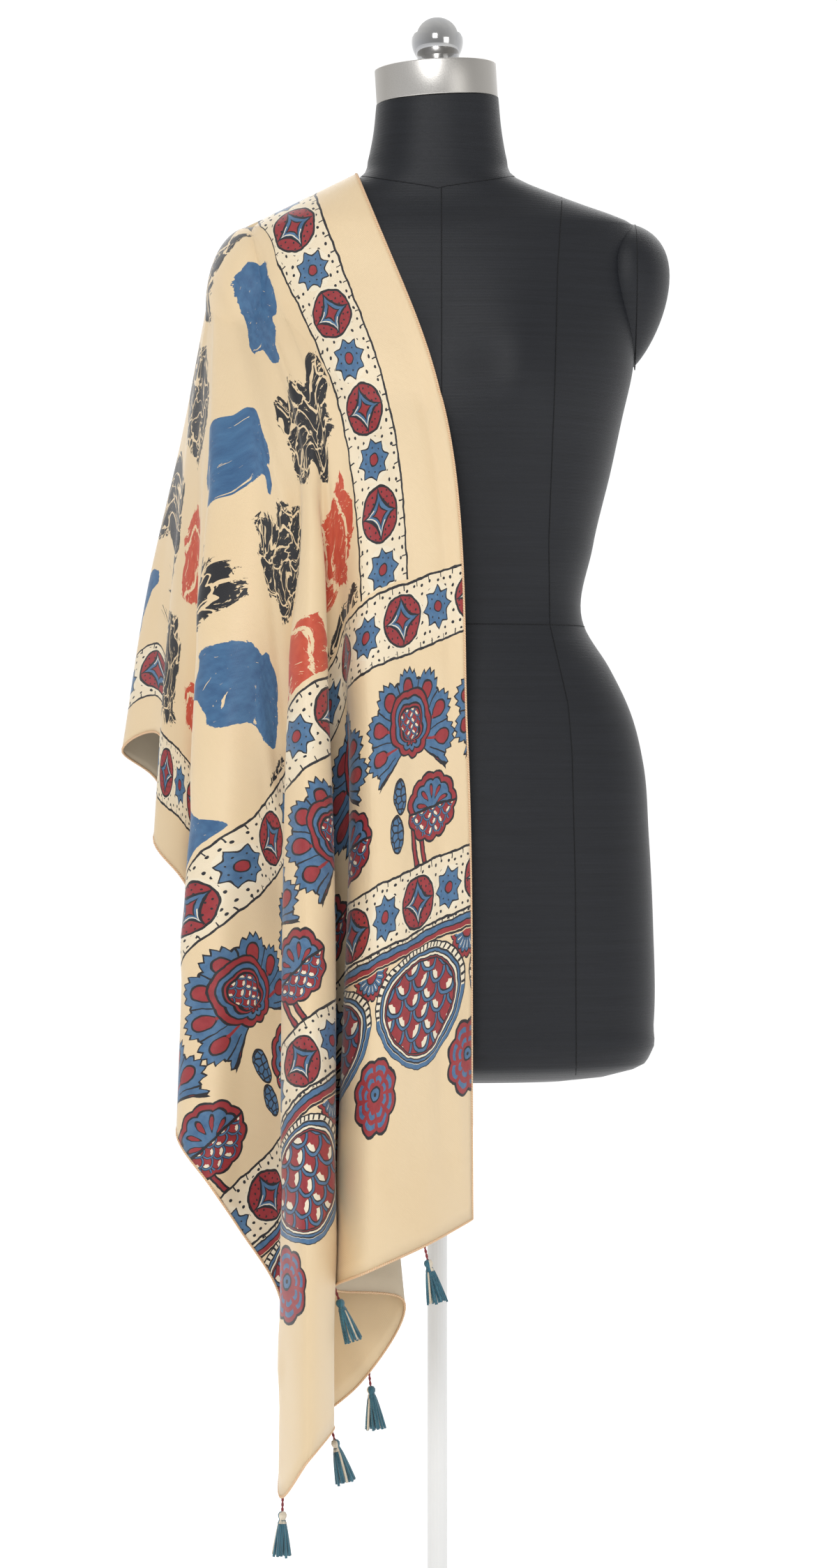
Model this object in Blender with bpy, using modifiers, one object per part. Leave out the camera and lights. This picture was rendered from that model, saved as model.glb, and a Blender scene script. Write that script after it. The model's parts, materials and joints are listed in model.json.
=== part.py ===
"""A satin stole with tasselled ends, hung over one shoulder of a limbless dress form on a stand.

Metres, +Z up, the wearer's front towards -Y, the origin on the floor under the pole.
Sheet places: u runs across the stole from its inner long edge, v along it from the shoulder line,
positive towards the front end.
"""
import math

import bmesh
import bpy
import numpy as np
from mathutils import Matrix, Vector

# The stole as it is cut: 0.70 m wide, 1.00 m of it in front of the shoulder line and 0.75 m behind
STOLE_WIDTH = 0.70
WALL = 0.0012
SEAM_GAP = 0.0003

# How the cloth is divided
ROWS = 22
ROW_GROWTH = 1.75
SPACING = 0.029
NOTCH = 0.008
TINY = 1e-6
CLEAR = 0.0030
CAP_CLEAR = 0.0048
SHOULDER_CLEAR = 0.0042

# The top line of the cloth on the shoulder, from the neck out to the peak over the arm cap
SHOULDER_COLUMNS = ("u", "x", "z")
SHOULDER_LINE = (
    (0.000, -0.0755, 1.4505),
    (0.050, -0.1210, 1.4290),
    (0.092, -0.1586, 1.4115),
    (0.117, -0.1820, 1.3998),
    (0.136, -0.1983, 1.3840),
    (0.150, -0.2067, 1.3706),
)

# Each fold of the cloth, in order round the form from the front inner edge to the back one.
# It leaves the shoulder line at ridge_u, passes the bust height at bust_u (None: straight in the
# sheet), then the place called mid, and ends on the hem at the sheet place hem_u, hem_v.
BUST_Z = 1.21
FOLD_COLUMNS = ("name", "ridge_u", "bust_u", "bust_x", "bust_y", "mid_x", "mid_y", "mid_z",
                "hem_x", "hem_y", "hem_z", "hem_u", "hem_v")
FOLDS = (
    ("inner_edge", 0.000, 0.000, 0.008, -0.125, 0.026, -0.125, 0.93, 0.031, -0.120, 0.490, 0.000, 1.00),
    ("panel", 0.055, 0.060, -0.040, -0.135, -0.018, -0.146, 0.93, -0.016, -0.182, 0.470, 0.085, 1.00),
    ("panel_ridge", 0.100, 0.115, -0.083, -0.145, -0.061, -0.170, 0.93, -0.060, -0.215, 0.453, 0.168, 1.00),
    ("recess", 0.108, 0.128, -0.093, -0.145, -0.080, -0.137, 0.93, -0.092, -0.135, 0.427, 0.257, 1.00),
    ("tail_fold", 0.112, 0.138, -0.101, -0.145, -0.079, -0.121, 0.92, -0.031, -0.104, 0.415, 0.320, 1.00),
    ("tail", 0.116, 0.146, -0.107, -0.144, -0.096, -0.116, 0.92, -0.071, -0.092, 0.338, 0.401, 1.00),
    ("tail_turn", 0.119, 0.152, -0.112, -0.143, -0.109, -0.119, 0.92, -0.120, -0.096, 0.298, 0.470, 1.00),
    ("pleat_right", 0.123, 0.158, -0.117, -0.143, -0.098, -0.163, 0.92, -0.094, -0.190, 0.309, 0.565, 1.00),
    ("pleat_front", 0.127, 0.163, -0.121, -0.143, -0.117, -0.187, 0.92, -0.114, -0.235, 0.288, 0.632, 1.00),
    ("front_tip", 0.131, 0.168, -0.125, -0.142, -0.135, -0.165, 0.92, -0.140, -0.188, 0.248, 0.700, 1.00),
    ("pleat_back", 0.136, 0.185, -0.131, -0.133, -0.128, -0.128, 0.92, -0.136, -0.140, 0.333, 0.700, 0.89),
    ("side_turn", 0.143, 0.215, -0.147, -0.127, -0.144, -0.125, 0.92, -0.145, -0.120, 0.425, 0.700, 0.776),
    ("side_panel_1", 0.150, None, -0.166, -0.121, -0.165, -0.128, 0.93, -0.180, -0.132, 0.483, 0.700, 0.706),
    ("side_panel_2", 0.150, None, -0.185, -0.113, -0.193, -0.132, 0.93, -0.206, -0.150, 0.524, 0.700, 0.655),
    ("side_ridge", 0.150, None, -0.206, -0.098, -0.222, -0.113, 0.93, -0.236, -0.125, 0.567, 0.700, 0.593),
    ("valley_1", 0.150, None, -0.208, -0.086, -0.211, -0.080, 0.93, -0.207, -0.070, 0.620, 0.700, 0.450),
    ("under_ridge", 0.150, None, -0.212, -0.076, -0.224, -0.058, 0.94, -0.228, -0.045, 0.690, 0.700, 0.340),
    ("valley_2", 0.150, None, -0.215, -0.067, -0.217, -0.034, 0.95, -0.213, -0.012, 0.740, 0.700, 0.250),
    ("second_panel", 0.150, None, -0.220, -0.056, -0.236, -0.030, 0.98, -0.236, -0.030, 0.797, 0.700, 0.146),
    ("second_ridge", 0.150, None, -0.228, -0.043, -0.250, -0.020, 1.01, -0.262, -0.020, 0.830, 0.700, 0.047),
    ("valley_3", 0.150, None, -0.231, -0.024, -0.246, 0.012, 1.01, -0.245, 0.018, 0.875, 0.700, 0.000),
    ("outer_panel", 0.150, None, -0.235, -0.005, -0.259, 0.035, 1.05, -0.263, 0.050, 0.933, 0.700, -0.030),
    ("outer_corner", 0.150, None, -0.238, 0.020, -0.274, 0.060, 1.06, -0.299, 0.100, 0.915, 0.700, -0.085),
    ("turned_edge", 0.150, None, -0.237, 0.045, -0.250, 0.090, 1.04, -0.270, 0.128, 0.891, 0.700, -0.140),
    ("back_side_1", 0.150, None, -0.229, 0.075, -0.228, 0.122, 1.00, -0.244, 0.146, 0.813, 0.700, -0.270),
    ("back_side_2", 0.150, None, -0.212, 0.100, -0.205, 0.134, 0.95, -0.212, 0.170, 0.698, 0.700, -0.420),
    ("back_valley", 0.146, 0.215, -0.185, 0.113, -0.176, 0.130, 0.92, -0.172, 0.136, 0.566, 0.700, -0.580),
    ("back_tip", 0.138, 0.175, -0.165, 0.112, -0.155, 0.158, 0.92, -0.140, 0.190, 0.470, 0.700, -0.750),
    ("back_fold_1", 0.128, 0.155, -0.152, 0.111, -0.141, 0.128, 0.92, -0.124, 0.129, 0.498, 0.615, -0.750),
    ("back_fold_2", 0.115, 0.140, -0.142, 0.112, -0.131, 0.162, 0.92, -0.112, 0.205, 0.532, 0.525, -0.750),
    ("back_fold_3", 0.100, 0.120, -0.130, 0.112, -0.113, 0.129, 0.92, -0.090, 0.130, 0.573, 0.430, -0.750),
    ("back_fold_4", 0.085, 0.100, -0.118, 0.113, -0.102, 0.163, 0.92, -0.079, 0.208, 0.608, 0.335, -0.750),
    ("back_fold_5", 0.065, 0.080, -0.103, 0.113, -0.083, 0.130, 0.92, -0.056, 0.134, 0.643, 0.235, -0.750),
    ("back_fold_6", 0.045, 0.055, -0.088, 0.113, -0.068, 0.158, 0.92, -0.045, 0.198, 0.675, 0.145, -0.750),
    ("back_fold_7", 0.020, 0.025, -0.070, 0.113, -0.048, 0.133, 0.92, -0.020, 0.140, 0.705, 0.060, -0.750),
    ("back_inner_edge", 0.000, 0.000, -0.055, 0.113, -0.033, 0.136, 0.92, -0.004, 0.158, 0.725, 0.000, -0.750),
)
STRETCHES = (
    ("stole_front", "inner_edge", "side_panel_1"),
    ("stole_side", "side_panel_1", "back_side_2"),
    ("stole_back", "back_side_2", "back_inner_edge"),
)

# The tassels, five along each short end
TASSEL_COUNT = 5
FRONT_INSET = 0.5
BACK_INSET = 0.65
TASSEL_LAST = 0.995
TASSEL_CORD = 0.013
TASSEL_CORD_RADIUS = 0.0011
CORD_TAPER = 0.4
CORD_DROP = 0.0007
TASSEL_HEAD = 0.008
TASSEL_HEAD_RADIUS = 0.0042
HEAD_TAPER = 0.7
ROOT_DEPTH = 0.55
SHORT_STRAND = 0.94
TASSEL_SKIRT = 0.030
TASSEL_SPREAD = 0.0090
TASSEL_STRANDS = 12
STRAND = 0.0017
FRONT_LEANS = (0.22, 0.34, 0.12, 0.26, -0.02)
BACK_LEANS = (0.05, -0.08, 0.04, 0.10, -0.03)

# The dress form: half widths to each side, and depths to the front and back, at each height
FORM_COLUMNS = ("z", "left", "right", "front", "back")
FORM = (
    (1.5195, 0.0570, 0.0570, 0.0540, 0.0540),
    (1.4900, 0.0600, 0.0600, 0.0560, 0.0570),
    (1.4640, 0.0650, 0.0650, 0.0590, 0.0620),
    (1.4530, 0.0676, 0.0680, 0.0610, 0.0650),
    (1.4470, 0.0740, 0.0750, 0.0620, 0.0680),
    (1.4350, 0.0990, 0.1030, 0.0640, 0.0730),
    (1.4210, 0.1280, 0.1410, 0.0690, 0.0790),
    (1.4080, 0.1550, 0.1765, 0.0760, 0.0850),
    (1.4030, 0.1640, 0.1842, 0.0790, 0.0870),
    (1.3950, 0.1740, 0.1868, 0.0830, 0.0900),
    (1.3700, 0.1810, 0.1870, 0.0920, 0.0960),
    (1.3300, 0.1820, 0.1860, 0.1020, 0.1010),
    (1.2690, 0.1800, 0.1820, 0.1120, 0.1020),
    (1.2250, 0.1715, 0.1722, 0.1150, 0.0990),
    (1.1770, 0.1619, 0.1619, 0.1100, 0.0930),
    (1.1060, 0.1450, 0.1450, 0.0960, 0.0840),
    (1.0320, 0.1365, 0.1365, 0.0870, 0.0810),
    (0.9930, 0.1600, 0.1600, 0.0920, 0.0950),
    (0.9510, 0.1800, 0.1800, 0.0980, 0.1090),
    (0.9040, 0.1918, 0.1918, 0.1030, 0.1180),
    (0.8370, 0.1970, 0.1970, 0.1060, 0.1230),
    (0.7570, 0.2009, 0.2009, 0.1050, 0.1210),
    (0.6610, 0.2015, 0.2015, 0.1010, 0.1150),
    (0.6350, 0.1990, 0.1990, 0.0990, 0.1120),
    (0.6200, 0.1830, 0.1830, 0.0880, 0.1000),
    (0.6130, 0.1560, 0.1560, 0.0700, 0.0800),
    (0.6090, 0.1200, 0.1200, 0.0500, 0.0580),
)
SQUARENESS = 2.35
FORM_SIDES = 36
FORM_RING_STEP = 0.032
BUST_RISE = 0.023
BUST_X = 0.082
BUST_HEIGHT = 1.262
BUST_SPREAD_X = 0.050
BUST_SPREAD_Z = 0.056
NECK_BASE_Z = 1.455
NECK_TOP_Z = FORM[0][0]
NECK_TILT = math.radians(3.5)

# Padded caps over the armholes: centre, half sizes, how pointed the ends are and how far the
# fullest place lies above the middle
CAP_COLUMNS = ("name", "x", "z", "half_x", "half_y", "half_z", "point", "rise")
ARM_CAPS = (
    ("arm_cap_left", -0.174, 1.330, 0.036, 0.055, 0.0675, 0.0, 0.0),
    ("arm_cap_right", 0.178, 1.338, 0.0385, 0.055, 0.0685, 0.25, 0.28),
)

NECK_CAP_RADIUS = 0.0566
NECK_CAP_HEIGHT = 0.0330
BALL_RADIUS = 0.0240
BALL_Z = 1.5760
COLLAR_RADIUS = 0.0150
COLLAR_Z = NECK_TOP_Z + NECK_CAP_HEIGHT + 2 * SEAM_GAP
POLE_RADIUS = 0.0095
BASE_RADIUS = 0.190
BASE_EDGE = 0.008
BASE_HUB_RADIUS = 0.024
BASE_HUB_HEIGHT = 0.040

# Finishes: base colour, roughness, metallic
FINISHES = {
    "satin": ((0.80, 0.68, 0.48, 1.0), 0.38, 0.0),
    "tassel_yarn": ((0.02, 0.09, 0.14, 1.0), 0.75, 0.0),
    "form_jersey": ((0.030, 0.033, 0.040, 1.0), 0.70, 0.0),
    "brushed_steel": ((0.62, 0.60, 0.57, 1.0), 0.35, 1.0),
    "polished_steel": ((0.70, 0.70, 0.70, 1.0), 0.10, 1.0),
    "stand_enamel": ((0.86, 0.86, 0.85, 1.0), 0.40, 0.0),
}


def spline(knots, values, at):
    """Cubic Hermite curve through values at knots, with slopes from each point's neighbours."""
    knots = np.asarray(knots, float)
    values = np.asarray(values, float)
    at = np.clip(np.asarray(at, float), knots[0], knots[-1])
    steps = np.diff(knots)
    falls = np.diff(values, axis=0) / steps[:, None]
    slopes = np.empty_like(values)
    slopes[0] = falls[0]
    slopes[-1] = falls[-1]
    before = steps[:-1, None]
    after = steps[1:, None]
    slopes[1:-1] = (falls[:-1] * after + falls[1:] * before) / (before + after)
    index = np.clip(np.searchsorted(knots, at, side="right") - 1, 0, len(steps) - 1)
    width = steps[index][:, None]
    t = ((at - knots[index]) / steps[index])[:, None]
    start = (1 + 2 * t) * (1 - t) ** 2 * values[index] + t * (1 - t) ** 2 * width * slopes[index]
    end = t * t * (3 - 2 * t) * values[index + 1] + t * t * (t - 1) * width * slopes[index + 1]
    return start + end


def chord_knots(points):
    """Running length along a row of points."""
    lengths = np.linalg.norm(np.diff(points, axis=0), axis=1)
    return np.concatenate(([0.0], np.cumsum(lengths)))


def column(rows, names, name):
    return [row[names.index(name)] for row in rows]


def form_size(name, z):
    """Half width or depth of the dress form at the height z."""
    heights = column(FORM, FORM_COLUMNS, "z")[::-1]
    values = column(FORM, FORM_COLUMNS, name)[::-1]
    return float(np.interp(z, heights, values))


def bust_rise(x, z):
    across = ((abs(x) - BUST_X) / BUST_SPREAD_X) ** 2
    along = ((z - BUST_HEIGHT) / BUST_SPREAD_Z) ** 2
    return BUST_RISE * math.exp(-across - along)


def form_depth(x, z, front):
    """How far the form reaches forward (or back) of its axis at a place seen from the front."""
    if z > NECK_TOP_Z or z < FORM[-1][0]:
        return 0.0
    side = form_size("left" if x < 0 else "right", z)
    if abs(x) >= side:
        return 0.0
    share = (1 - (abs(x) / side) ** SQUARENESS) ** (1 / SQUARENESS)
    depth = form_size("front" if front else "back", z) * share
    return depth + (bust_rise(x, z) * share if front else 0.0)


def clear_of_form(point):
    """Moves a place on the cloth outward until it lies clear of the torso and the left arm cap."""
    x, y, z = point
    _, cap_x, cap_z, half_x, half_y, half_z, _, _ = ARM_CAPS[0]
    reach = Vector(((x - cap_x) / (half_x + CAP_CLEAR), y / (half_y + CAP_CLEAR),
                    (z - cap_z) / (half_z + CAP_CLEAR))).length
    if reach < 1:
        x, y, z = cap_x + (x - cap_x) / reach, y / reach, cap_z + (z - cap_z) / reach
    front = y < 0
    depth = max(form_depth(x, z, front), form_depth(x, z - SHOULDER_CLEAR, front))
    if depth > 0 and abs(y) < depth + CLEAR:
        y = -(depth + CLEAR) if front else depth + CLEAR
    return x, y, z


def fold_lines():
    """Each fold as rows of x, y, z, u, v from the shoulder line to the hem."""
    levels = np.linspace(0, 1, ROWS + 1) ** ROW_GROWTH
    ridge_u = column(SHOULDER_LINE, SHOULDER_COLUMNS, "u")
    ridge_xz = [(row[1], row[2]) for row in SHOULDER_LINE]
    lines = []
    for fold in FOLDS:
        row = dict(zip(FOLD_COLUMNS, fold))
        top_x, top_z = spline(ridge_u, ridge_xz, [row["ridge_u"]])[0]
        stations = np.array(((top_x, 0.0, top_z),
                             (row["bust_x"], row["bust_y"], BUST_Z),
                             (row["mid_x"], row["mid_y"], row["mid_z"]),
                             (row["hem_x"], row["hem_y"], row["hem_z"])))
        knots = chord_knots(stations)
        length = knots[-1]
        places = spline(knots, stations, levels * length)
        bust_u = row["bust_u"]
        if bust_u is None:
            bust_u = row["ridge_u"] + (row["hem_u"] - row["ridge_u"]) * knots[1] / length
        u = np.interp(levels * length, (0, knots[1], length), (row["ridge_u"], bust_u, row["hem_u"]))
        lines.append(np.column_stack((places, u, levels * row["hem_v"])))
    return np.array(lines)


def fold_index(name):
    return column(FOLDS, FOLD_COLUMNS, "name").index(name)


def sheet_steps(lines, first, last):
    """Where the cloth is sampled from one fold to another, counted in folds."""
    hem = lines[:, -1, :3]
    steps = []
    for index in range(first, last):
        width = np.linalg.norm(hem[index + 1] - hem[index])
        count = max(2, round(width / SPACING))
        steps.extend(index + k / count for k in range(count))
    steps.append(last)
    return steps


def cross_section(lines, level, steps):
    """Places x, y, z, u, v across the cloth at one level, curved smoothly through its folds."""
    section = lines[:, level]
    places = section[:, :3] + np.arange(len(section))[:, None] * TINY
    knots = chord_knots(places)
    at = np.interp(steps, np.arange(len(section)), knots)
    return spline(knots, section, at)


def sheet_grid(lines, first, last):
    """Rows of places across the cloth from one fold to another, each clear of the form."""
    steps = sheet_steps(lines, first, last)
    return [[Vector(clear_of_form(place[:3])) for place in cross_section(lines, level, steps)]
            for level in range(lines.shape[1])]


def pull_in(edge, inner, distance):
    """Draws a border row of places towards the row inside it."""
    return [place + (inside - place).normalized() * distance for place, inside in zip(edge, inner)]


def finish_material(name):
    colour, roughness, metallic = FINISHES[name]
    material = bpy.data.materials.get(name)
    if material is None:
        material = bpy.data.materials.new(name)
        material.use_nodes = True
        shader = material.node_tree.nodes["Principled BSDF"]
        shader.inputs["Base Color"].default_value = colour
        shader.inputs["Roughness"].default_value = roughness
        shader.inputs["Metallic"].default_value = metallic
    return material


def new_collection(name):
    collection = bpy.data.collections.new(name)
    bpy.context.scene.collection.children.link(collection)
    return collection


def add_object(name, mesh, collection, finish):
    thing = bpy.data.objects.new(name, mesh)
    collection.objects.link(thing)
    mesh.materials.clear()
    mesh.materials.append(finish_material(finish))
    mesh.shade_smooth()
    mesh.set_sharp_from_angle(angle=math.radians(50))
    return thing


def mesh_from_rows(name, rows, closed=False):
    """A surface over rows of places; closed rows make a ring, and the two end rings are filled."""
    shape = bmesh.new()
    grid = [[shape.verts.new(place) for place in row] for row in rows]
    count = len(grid[0])
    for upper, lower in zip(grid, grid[1:]):
        for k in range(count if closed else count - 1):
            after = (k + 1) % count
            shape.faces.new((upper[k], lower[k], lower[after], upper[after]))
    if closed:
        shape.faces.new(grid[0])
        shape.faces.new(grid[-1][::-1])
        bmesh.ops.recalc_face_normals(shape, faces=shape.faces)
    mesh = bpy.data.meshes.new(name)
    shape.to_mesh(mesh)
    shape.free()
    return mesh


def add_stole(collection):
    """The cloth in the three stretches that show, parted by a narrow gap along folds."""
    lines = fold_lines()
    for name, first, last in STRETCHES:
        grid = sheet_grid(lines, fold_index(first), fold_index(last))
        if name == "stole_side":
            grid[0] = pull_in(grid[0], grid[1], NOTCH)
        else:
            grid[0] = pull_in(grid[0], grid[1], SEAM_GAP)
        columns = [list(places) for places in zip(*grid)]
        if name != "stole_front":
            columns[0] = pull_in(columns[0], columns[1], SEAM_GAP)
        if name != "stole_back":
            columns[-1] = pull_in(columns[-1], columns[-2], SEAM_GAP)
        mesh = mesh_from_rows(name, columns)
        stretch = add_object(name, mesh, collection, "satin")
        wall = stretch.modifiers.new("wall", "SOLIDIFY")
        wall.thickness = WALL
        wall.offset = 1
    return lines


def hem_places(lines, front):
    """The sampled places along a short end's hem, in order of u."""
    if front:
        first, last = fold_index("inner_edge"), fold_index("front_tip")
        return cross_section(lines, -1, sheet_steps(lines, first, last))
    first, last = fold_index("back_tip"), fold_index("back_inner_edge")
    return cross_section(lines, -1, sheet_steps(lines, first, last))[::-1]


def add_tassel(name, top, lean, collection):
    """A cord, a wrapped head and a skirt of strands that stand apart below the head."""
    shape = bmesh.new()
    bmesh.ops.create_cone(shape, cap_ends=True, segments=TASSEL_STRANDS, radius1=TASSEL_HEAD_RADIUS,
                          radius2=TASSEL_HEAD_RADIUS * HEAD_TAPER, depth=TASSEL_HEAD)
    shape.faces.ensure_lookup_table()
    caps = sorted((f for f in shape.faces if len(f.verts) == TASSEL_STRANDS),
                  key=lambda f: f.calc_center_median().z)
    bmesh.ops.inset_individual(shape, faces=[caps[1]],
                               thickness=TASSEL_HEAD_RADIUS * HEAD_TAPER - TASSEL_CORD_RADIUS)
    cord = bmesh.ops.extrude_discrete_faces(shape, faces=[caps[1]])["faces"][0]
    for vert in cord.verts:
        vert.co = Vector((vert.co.x * CORD_TAPER, vert.co.y * CORD_TAPER, vert.co.z + TASSEL_CORD))
    roots = bmesh.ops.inset_individual(shape, faces=[caps[0]],
                                       thickness=TASSEL_HEAD_RADIUS * ROOT_DEPTH)["faces"]
    strands = bmesh.ops.extrude_discrete_faces(shape, faces=roots)["faces"]
    for number, strand in enumerate(strands):
        centre = strand.calc_center_median()
        out = Vector((centre.x, centre.y, 0)).normalized()
        side = Vector((-out.y, out.x, 0))
        drop = TASSEL_SKIRT * (1.0 if number % 2 else SHORT_STRAND)
        end = out * TASSEL_SPREAD + Vector((0, 0, centre.z - drop))
        for vert in strand.verts:
            away = vert.co - centre
            vert.co = (end + out * math.copysign(STRAND / 2, away.dot(out))
                       + side * math.copysign(STRAND / 2, away.dot(side)))
    bmesh.ops.translate(shape, verts=shape.verts, vec=(0, 0, -TASSEL_CORD - TASSEL_HEAD / 2))
    bmesh.ops.rotate(shape, verts=shape.verts, cent=(0, 0, 0), matrix=Matrix.Rotation(-lean, 3, "Y"))
    bmesh.ops.recalc_face_normals(shape, faces=shape.faces)
    mesh = bpy.data.meshes.new(name)
    shape.to_mesh(mesh)
    shape.free()
    thing = add_object(name, mesh, collection, "tassel_yarn")
    thing.location = top - Vector((0, 0, CORD_DROP))


def add_tassels(lines, collection):
    ends = (("tassel_front", True, FRONT_INSET, FRONT_LEANS),
            ("tassel_back", False, BACK_INSET, BACK_LEANS))
    for stem, front, inset, leans in ends:
        hem = hem_places(lines, front)
        for number in range(TASSEL_COUNT):
            share = (number + inset) / (TASSEL_COUNT - 1 + inset)
            u = STOLE_WIDTH * min(share, TASSEL_LAST)
            top = Vector(np.interp(u, hem[:, 3], hem[:, axis]) for axis in range(3))
            add_tassel(f"{stem}_{number + 1}", top, leans[number], collection)


def form_ring(row):
    """One level ring of the dress form, a rounded oval with its own sides and depths."""
    z, left, right, front, back = row
    ring = []
    for k in range(FORM_SIDES):
        angle = 2 * math.pi * k / FORM_SIDES
        cosine, sine = math.cos(angle), math.sin(angle)
        share_x = math.copysign(abs(cosine) ** (2 / SQUARENESS), cosine)
        share_y = math.copysign(abs(sine) ** (2 / SQUARENESS), sine)
        x = share_x * (right if cosine > 0 else left)
        y = share_y * (back if sine > 0 else front)
        if sine < 0:
            y -= bust_rise(x, z) * abs(share_y)
        neck = min(max((z - NECK_BASE_Z) / (NECK_TOP_Z - NECK_BASE_Z), 0), 1)
        ring.append(Vector((x, y, z + x * math.tan(NECK_TILT) * neck)))
    return ring


def add_form(collection, cutters):
    """The torso with its padded arm caps, each cap seated in the torso's armhole."""
    heights = column(FORM, FORM_COLUMNS, "z")
    levels = []
    for upper, lower in zip(heights, heights[1:]):
        count = max(1, round((upper - lower) / FORM_RING_STEP))
        levels.extend(upper + (lower - upper) * k / count for k in range(count))
    levels.append(heights[-1])
    rows = [[level] + [form_size(name, level) for name in FORM_COLUMNS[1:]] for level in levels]
    mesh = mesh_from_rows("torso", [form_ring(row) for row in rows], closed=True)
    torso = add_object("torso", mesh, collection, "form_jersey")
    for cap in ARM_CAPS:
        name, x, z = cap[:3]
        half = Vector(cap[3:6])
        ends = cap[6:8]
        socket = add_cap_shape(name + "_socket", (x, 0, z), half + Vector((SEAM_GAP,) * 3), ends, cutters)
        socket.hide_render = True
        socket.display_type = "WIRE"
        cut = torso.modifiers.new(name, "BOOLEAN")
        cut.operation = "DIFFERENCE"
        cut.object = socket
        add_cap_shape(name, (x, 0, z), half, ends, collection)


def add_cap_shape(name, centre, half, ends, collection):
    point, rise = ends
    shape = bmesh.new()
    bmesh.ops.create_uvsphere(shape, u_segments=20, v_segments=12, radius=1)
    for vert in shape.verts:
        x, y, z = vert.co
        narrow = max(1 - z * z, 0) ** point
        vert.co = x * narrow, y * narrow, z + rise * (1 - z * z)
    bmesh.ops.scale(shape, verts=shape.verts, vec=half)
    mesh = bpy.data.meshes.new(name)
    shape.to_mesh(mesh)
    shape.free()
    thing = add_object(name, mesh, collection, "form_jersey")
    thing.location = centre
    return thing


def add_turned(name, profile, collection, finish, steps=32):
    """A solid turned about the upright axis from a profile of radius and height, top to bottom."""
    mesh = bpy.data.meshes.new(name)
    points = [(radius, 0, height) for radius, height in profile]
    mesh.from_pydata(points, [(k, k + 1) for k in range(len(points) - 1)], [])
    thing = add_object(name, mesh, collection, finish)
    turn = thing.modifiers.new("turn", "SCREW")
    turn.steps = steps
    turn.render_steps = steps
    turn.use_merge_vertices = True
    turn.merge_threshold = 0.00005
    turn.use_smooth_shade = True
    return thing


def add_neck_fittings(collection):
    edge = 0.0015
    radius = NECK_CAP_RADIUS
    height = NECK_CAP_HEIGHT
    profile = ((0, height), (radius - edge, height), (radius, height - edge), (radius, edge),
               (radius - edge, 0), (0, 0))
    cap = add_turned("neck_cap", profile, collection, "brushed_steel", 48)
    cap.location.z = NECK_TOP_Z + SEAM_GAP
    cap.rotation_euler.y = -NECK_TILT
    ball = [(BALL_RADIUS * math.sin(math.radians(angle)), BALL_RADIUS * math.cos(math.radians(angle)))
            for angle in range(0, 145, 16)]
    foot = COLLAR_Z - BALL_Z
    collar = [(COLLAR_RADIUS, foot + 0.003), (COLLAR_RADIUS, foot), (0, foot)]
    finial = add_turned("finial", ball + collar, collection, "polished_steel", 24)
    finial.location.z = BALL_Z
    finial.rotation_euler.y = -NECK_TILT


def add_stand(collection):
    underside = FORM[-1][0] - SEAM_GAP
    length = underside - BASE_HUB_HEIGHT - SEAM_GAP
    add_turned("pole", ((0, length), (POLE_RADIUS, length), (POLE_RADIUS, 0), (0, 0)),
               collection, "stand_enamel", 20).location.z = BASE_HUB_HEIGHT + SEAM_GAP
    profile = ((0, BASE_HUB_HEIGHT), (BASE_HUB_RADIUS * 0.7, BASE_HUB_HEIGHT),
               (BASE_HUB_RADIUS, BASE_HUB_HEIGHT * 0.8), (BASE_HUB_RADIUS * 1.3, BASE_EDGE * 2),
               (BASE_RADIUS * 0.6, BASE_EDGE * 1.4), (BASE_RADIUS * 0.97, BASE_EDGE),
               (BASE_RADIUS, BASE_EDGE * 0.7), (BASE_RADIUS, 0), (0, 0))
    add_turned("base", profile, collection, "stand_enamel", 40)


def main():
    for thing in list(bpy.data.objects):
        bpy.data.objects.remove(thing)
    parts = new_collection("stole_on_dress_form")
    cutters = new_collection("cutters")
    lines = add_stole(parts)
    add_tassels(lines, parts)
    add_form(parts, cutters)
    add_neck_fittings(parts)
    add_stand(parts)


main()
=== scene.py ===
import json
import math

import bmesh
import bpy
import numpy as np
from bpy.props import FloatProperty, FloatVectorProperty, IntProperty, PointerProperty
from mathutils import Matrix, Vector

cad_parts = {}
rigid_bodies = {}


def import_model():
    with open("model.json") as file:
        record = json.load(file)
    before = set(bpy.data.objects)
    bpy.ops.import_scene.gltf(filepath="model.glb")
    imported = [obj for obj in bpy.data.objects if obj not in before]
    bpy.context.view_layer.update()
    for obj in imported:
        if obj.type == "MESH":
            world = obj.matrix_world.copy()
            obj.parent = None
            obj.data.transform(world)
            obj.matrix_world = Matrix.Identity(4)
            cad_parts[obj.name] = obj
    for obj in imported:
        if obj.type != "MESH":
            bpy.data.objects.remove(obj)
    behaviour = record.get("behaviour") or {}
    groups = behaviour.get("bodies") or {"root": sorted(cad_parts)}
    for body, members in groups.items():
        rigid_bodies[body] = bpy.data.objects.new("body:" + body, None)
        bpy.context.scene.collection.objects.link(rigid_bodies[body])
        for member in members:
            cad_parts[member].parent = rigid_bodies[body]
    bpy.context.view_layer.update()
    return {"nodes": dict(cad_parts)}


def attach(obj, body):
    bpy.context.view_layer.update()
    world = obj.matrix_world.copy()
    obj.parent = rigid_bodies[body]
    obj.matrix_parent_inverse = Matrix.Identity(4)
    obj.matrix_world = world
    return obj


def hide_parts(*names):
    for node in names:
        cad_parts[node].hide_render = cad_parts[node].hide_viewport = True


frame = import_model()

bl_info = {
    "name": "Draped stole",
    "version": (1, 0, 0),
    "blender": (4, 5, 0),
    "location": "3D View > Sidebar > Stole",
    "description": "A printed satin stole with tasselled ends on a dress form",
    "category": "Object",
}

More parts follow.
